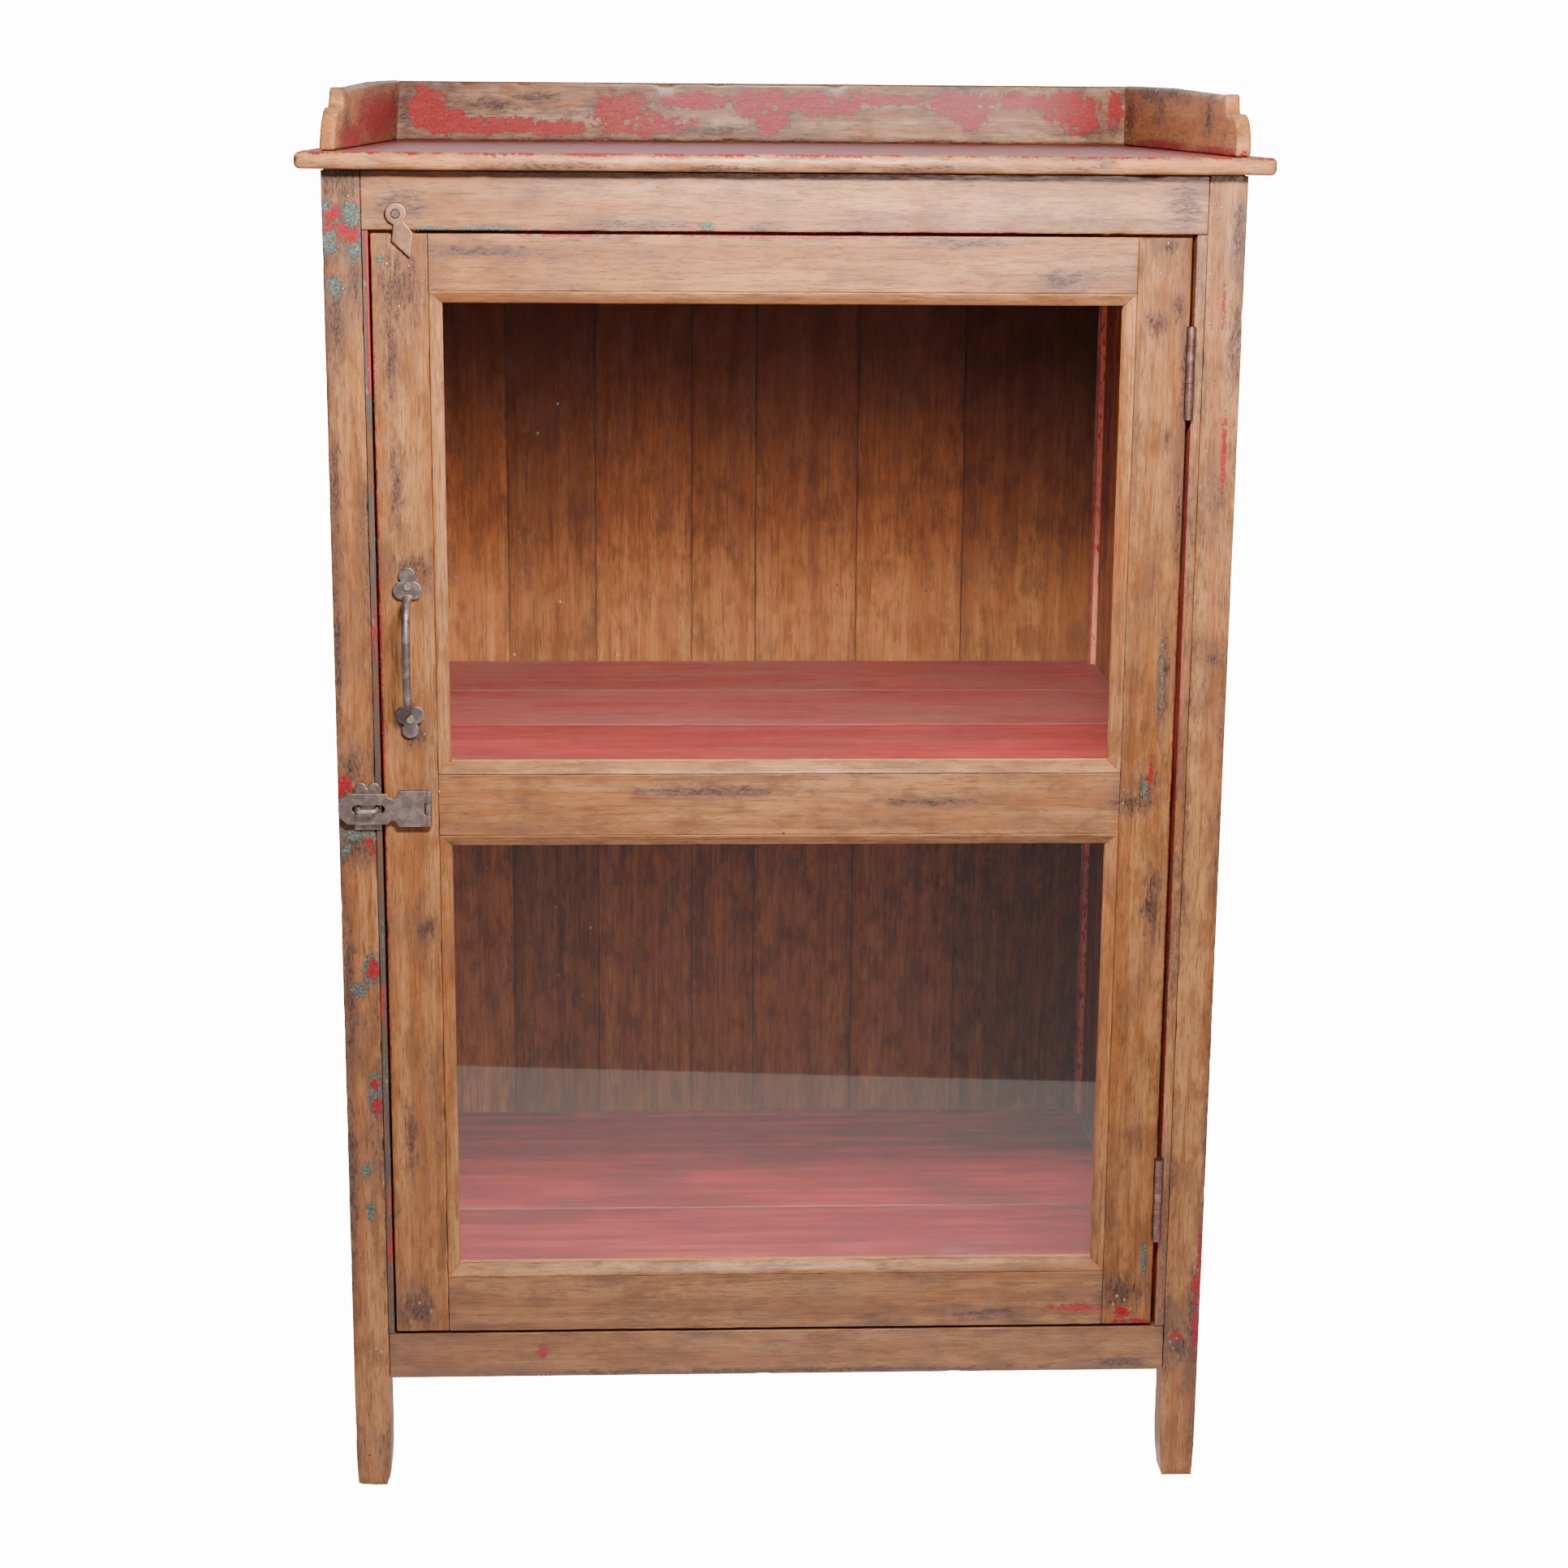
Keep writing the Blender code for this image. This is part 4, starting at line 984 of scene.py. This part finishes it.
def build_strips(name, sight, profile, seed):
    """Four mitred strips round a pane. Each is a profile swept between two mitres."""
    x0, z0, x1, z1 = sight
    sides = {
        "bottom": (Vector((x0, 0, z0)), Vector((x1, 0, z0)), Vector((0, 0, -1)), X),
        "right": (Vector((x1, 0, z0)), Vector((x1, 0, z1)), Vector((1, 0, 0)), Z),
        "top": (Vector((x1, 0, z1)), Vector((x0, 0, z1)), Vector((0, 0, 1)), X),
        "left": (Vector((x0, 0, z1)), Vector((x0, 0, z0)), Vector((-1, 0, 0)), Z),
    }
    pitch, gap = 10.0 * MM, 0.08 * MM
    # The thin inner lip of the mould, within this much of the profile, is a little wavy
    lip_out, lip_back, waves, shake = 3.0, 9.0, 30.0, 0.22 * MM
    far = Vector((1, 1, 1))
    for number, (side, (start, end, out, axis)) in enumerate(sides.items()):
        shape = bmesh.new()
        run = end - start
        ahead = run.normalized()
        count = max(2, round(run.length / pitch))
        rings = []
        for i in range(count + 1):
            ring = []
            for u, back in profile:
                mitre = u * MM - gap
                at = start + ahead * (-mitre + i / count * (run.length + 2 * mitre))
                at = at + out * (u * MM)
                at.y = FRONT + back * MM
                if u < lip_out and back < lip_back:
                    at -= out * (noise.noise(at * waves + Vector((seed, 0, 0))) * shake - shake)
                ring.append(shape.verts.new(at))
            rings.append(ring)
        for first, second in zip(rings, rings[1:]):
            for k in range(len(profile)):
                n = (k + 1) % len(profile)
                shape.faces.new((first[k], second[k], second[n], first[n]))
        shape.faces.new(rings[0])
        shape.faces.new(reversed(rings[-1]))
        bmesh.ops.recalc_face_normals(shape, faces=shape.faces)
        # The box is far larger than the strip, whose edges take no stain
        material = teak(
            "teak_" + name + "_" + side, axis, seed + number, (start - out * MM - far, end + far),
            light=STRIP_TAN, stain=0.40, edge_stain=0.0, coat=0.04, sheen=0.20,
        )
        finish_mesh(name + "_" + side, shape, material, "door")


def build_glass():
    glass = old_glass("glass_pane")
    for node in ("upper_glass", "lower_glass"):
        paint_node(node, glass)


def build_iron():
    """The handle, the hasp and staple, the turn button, the hinges and the screws."""
    dark = iron("iron_handle", 301, rust=0.14, rubbed=0.45)
    hasp = iron("iron_hasp", 311, tint=(0.33, 0.235, 0.215), rubbed=0.35)
    bright = iron("iron_screws", 316, tint=(0.50, 0.42, 0.38), rust=0.15, rubbed=0.8)
    brown = iron("iron_turn_button", 321, tint=(0.40, 0.21, 0.125), rust=0.5, rubbed=0.1)
    hinge = iron("iron_hinge", 331, tint=(0.27, 0.145, 0.12), rust=0.6, rubbed=0.25)
    soften("pull_handle", dark, "door", voxel=0.55, rounds=3)
    soften("hasp_arm", hasp, "hasp_arm", voxel=0.5, rounds=2)
    soften("turn_button", brown, "turn_button", voxel=0.45, rounds=3)
    soften("staple_plate", hasp, "carcass", voxel=0.45, rounds=2)
    soften("staple", bright, "carcass", voxel=0.4, rounds=2)
    plain = {
        "hasp_leaf": hasp, "hasp_pin": hasp, "turn_button_screw": dark,
        "handle_screw_upper": bright, "handle_screw_lower": bright,
    }
    for place in ("upper", "lower"):
        for piece in ("frame_leaf", "door_leaf", "pin"):
            plain[place + "_hinge_" + piece] = hinge
    for node, material in plain.items():
        paint_node(node, material)


def nail_head(shape, at, radius, rise):
    """A low domed nail head on a vertical face."""
    sides = 12
    root = 0.8 * MM
    angles = [2 * math.pi * k / sides for k in range(sides)]
    x, y, z = at
    tip = shape.verts.new((x, y - rise, z))
    rings = []
    dome = ((radius * 0.55, rise * 0.85), (radius * 0.9, rise * 0.45), (radius, 0.0), (radius, -root))
    for r, out in dome:
        rings.append([shape.verts.new((x + r * math.cos(a), y - out, z + r * math.sin(a))) for a in angles])
    for k in range(sides):
        n = (k + 1) % sides
        shape.faces.new((tip, rings[0][k], rings[0][n]))
        for a, b in zip(rings, rings[1:]):
            shape.faces.new((a[k], b[k], b[n], a[n]))
    shape.faces.new(reversed(rings[-1]))


def build_nails():
    """Nail heads at the joints, in loose groups as they were driven."""
    material = iron("iron_nails", 341, tint=(0.34, 0.30, 0.29), rust=0.3, rubbed=0.6)
    # Places on the front face in millimetres, (x, z)
    groups = {
        "carcass": [
            (350.8, 1132.6), (356.5, 1130), (349.5, 1123), (353.2, 1121.5), (-357.4, 132.7), (-352.6, 129.8),
            (-355.4, 123.6), (-352.6, 114), (357.6, 134.4), (351.5, 131), (354.5, 125), (359.5, 117),
            (-362, 1061), (349, 1076), (350, 1036), (351, 988), (352, 930), (353, 700), (-350, 1139),
            (-356, 1135),
        ],
        "door": [
            (-326, 1081), (-321, 1080.5), (-308, 1079.5), (-296, 1070), (-316.5, 1047), (313.2, 1101),
            (300, 1079), (308, 1077), (312.5, 1079), (262, 1079), (292, 628), (-292, 640), (292, 640),
            (-318, 176), (-308, 168), (302, 176), (299, 168), (309, 172), (315, 164), (-303, 690),
        ],
    }
    rng = random.Random(5)
    sunk, rise = 0.1 * MM, 0.45 * MM
    for body, places in groups.items():
        shape = bmesh.new()
        for x, z in places:
            radius = (1.0 + 0.4 * rng.random()) * MM
            nail_head(shape, (x * MM, FRONT + sunk, z * MM), radius, rise)
        bmesh.ops.recalc_face_normals(shape, faces=shape.faces)
        finish_mesh("nails_" + body, shape, material, body)


# ---------------------------------------------------------------- stage


def build_camera():
    data = bpy.data.cameras.new("camera")
    data.lens = CAMERA_LENS
    data.sensor_width = SENSOR
    camera = add_object("camera", data)
    turn = Matrix.Rotation(-CAMERA_YAW, 4, "Z")
    turn = turn @ Matrix.Rotation(math.pi / 2 + CAMERA_PITCH, 4, "X")
    turn = turn @ Matrix.Rotation(CAMERA_ROLL, 4, "Z")
    camera.matrix_world = Matrix.Translation(CAMERA_PLACE) @ turn
    bpy.context.scene.camera = camera


def area_light(name, place, target, size, power, colour=(1.0, 0.97, 0.94)):
    data = bpy.data.lights.new(name, "AREA")
    data.shape = "RECTANGLE"
    data.size, data.size_y = size
    data.energy = power
    data.color = colour
    light = add_object(name, data)
    light.location = place
    aim = Vector(target) - Vector(place)
    light.rotation_euler = aim.to_track_quat("-Z", "Y").to_euler()
    return light


def build_world():
    """White to the camera and a faint fill all round. Gloss mirrors a glow from the rear and from below."""
    world = bpy.data.worlds.new("studio")
    bpy.context.scene.world = world
    g = Graph(world)

    def background(colour, strength):
        return g.node("ShaderNodeBackground", {"Color": colour, "Strength": strength}).outputs[0]

    way = g.node("ShaderNodeSeparateXYZ", {0: g.coordinates.outputs["Generated"]}).outputs
    rear = g.step(way[Y], 0.3, 0.7, 0.04, 1.4, "LINEAR")
    below = g.step(way[Z], -0.08, -0.34, 0.0, 0.45, "LINEAR")
    fill = background((0.95, 0.97, 1.0), FILL)
    mirrored = background((0.92, 0.94, 1.0), g.plus(rear, below))
    white = background((1.0, 1.0, 1.0), BACKDROP)
    rays = g.node("ShaderNodeLightPath").outputs
    unseen = g.mixed(rays["Is Glossy Ray"], fill, mirrored)
    g.finish(g.mixed(rays["Is Camera Ray"], unseen, white), "ShaderNodeOutputWorld")


def build_floor():
    """A pale floor. Its front edge is what the lower pane mirrors."""
    shape = bmesh.new()
    corners = [(-8.0, -2.18, 0.0), (8.0, -0.60, 0.0), (8.0, 12.0, 0.0), (-8.0, 12.0, 0.0)]
    shape.faces.new([shape.verts.new(c) for c in corners])
    floor = add_mesh("studio_floor", shape)
    g = material_graph("studio_floor")
    colour = g.blend(g.noise(14.0, 1, 3.0, 0.5), FLOOR_GREY, FLOOR_WHITE)
    lit = g.node("ShaderNodeBsdfDiffuse", {"Color": colour})
    rays = g.node("ShaderNodeLightPath").outputs
    seen = g.times(rays["Is Camera Ray"], FLOOR_GLOW)
    mirrored = g.times(rays["Is Glossy Ray"], FLOOR_MIRRORED)
    glow = g.node("ShaderNodeEmission", {"Strength": g.plus(g.plus(seen, mirrored), FLOOR_BOUNCE)})
    both = g.node("ShaderNodeAddShader", {0: lit.outputs[0], 1: glow.outputs[0]})
    floor.data.materials.append(g.finish(both.outputs[0]))


def build_stage():
    build_camera()
    build_world()
    build_floor()
    area_light("key", (0.04, -1.10, 1.50), target=(0.0, -0.28, 0.95), size=(0.34, 0.12), power=30.0)
    area_light("side", (0.80, -1.60, 1.85), target=(0.15, -0.2, 1.0), size=(0.6, 0.3), power=9.0)
    shine = area_light(
        "shine", (0.60, -2.40, 1.16), target=(0.24, -0.28, 1.14), size=(0.34, 0.20), power=21.0,
        colour=(1.0, 0.85, 0.78),
    )
    shine.visible_diffuse = False


build_stage()
build_posts()
build_rails()
build_jambs()
build_back()
build_tongues()
build_planks()
build_top()
build_gallery()
build_seats()
build_door()
build_glass()
build_iron()
build_nails()
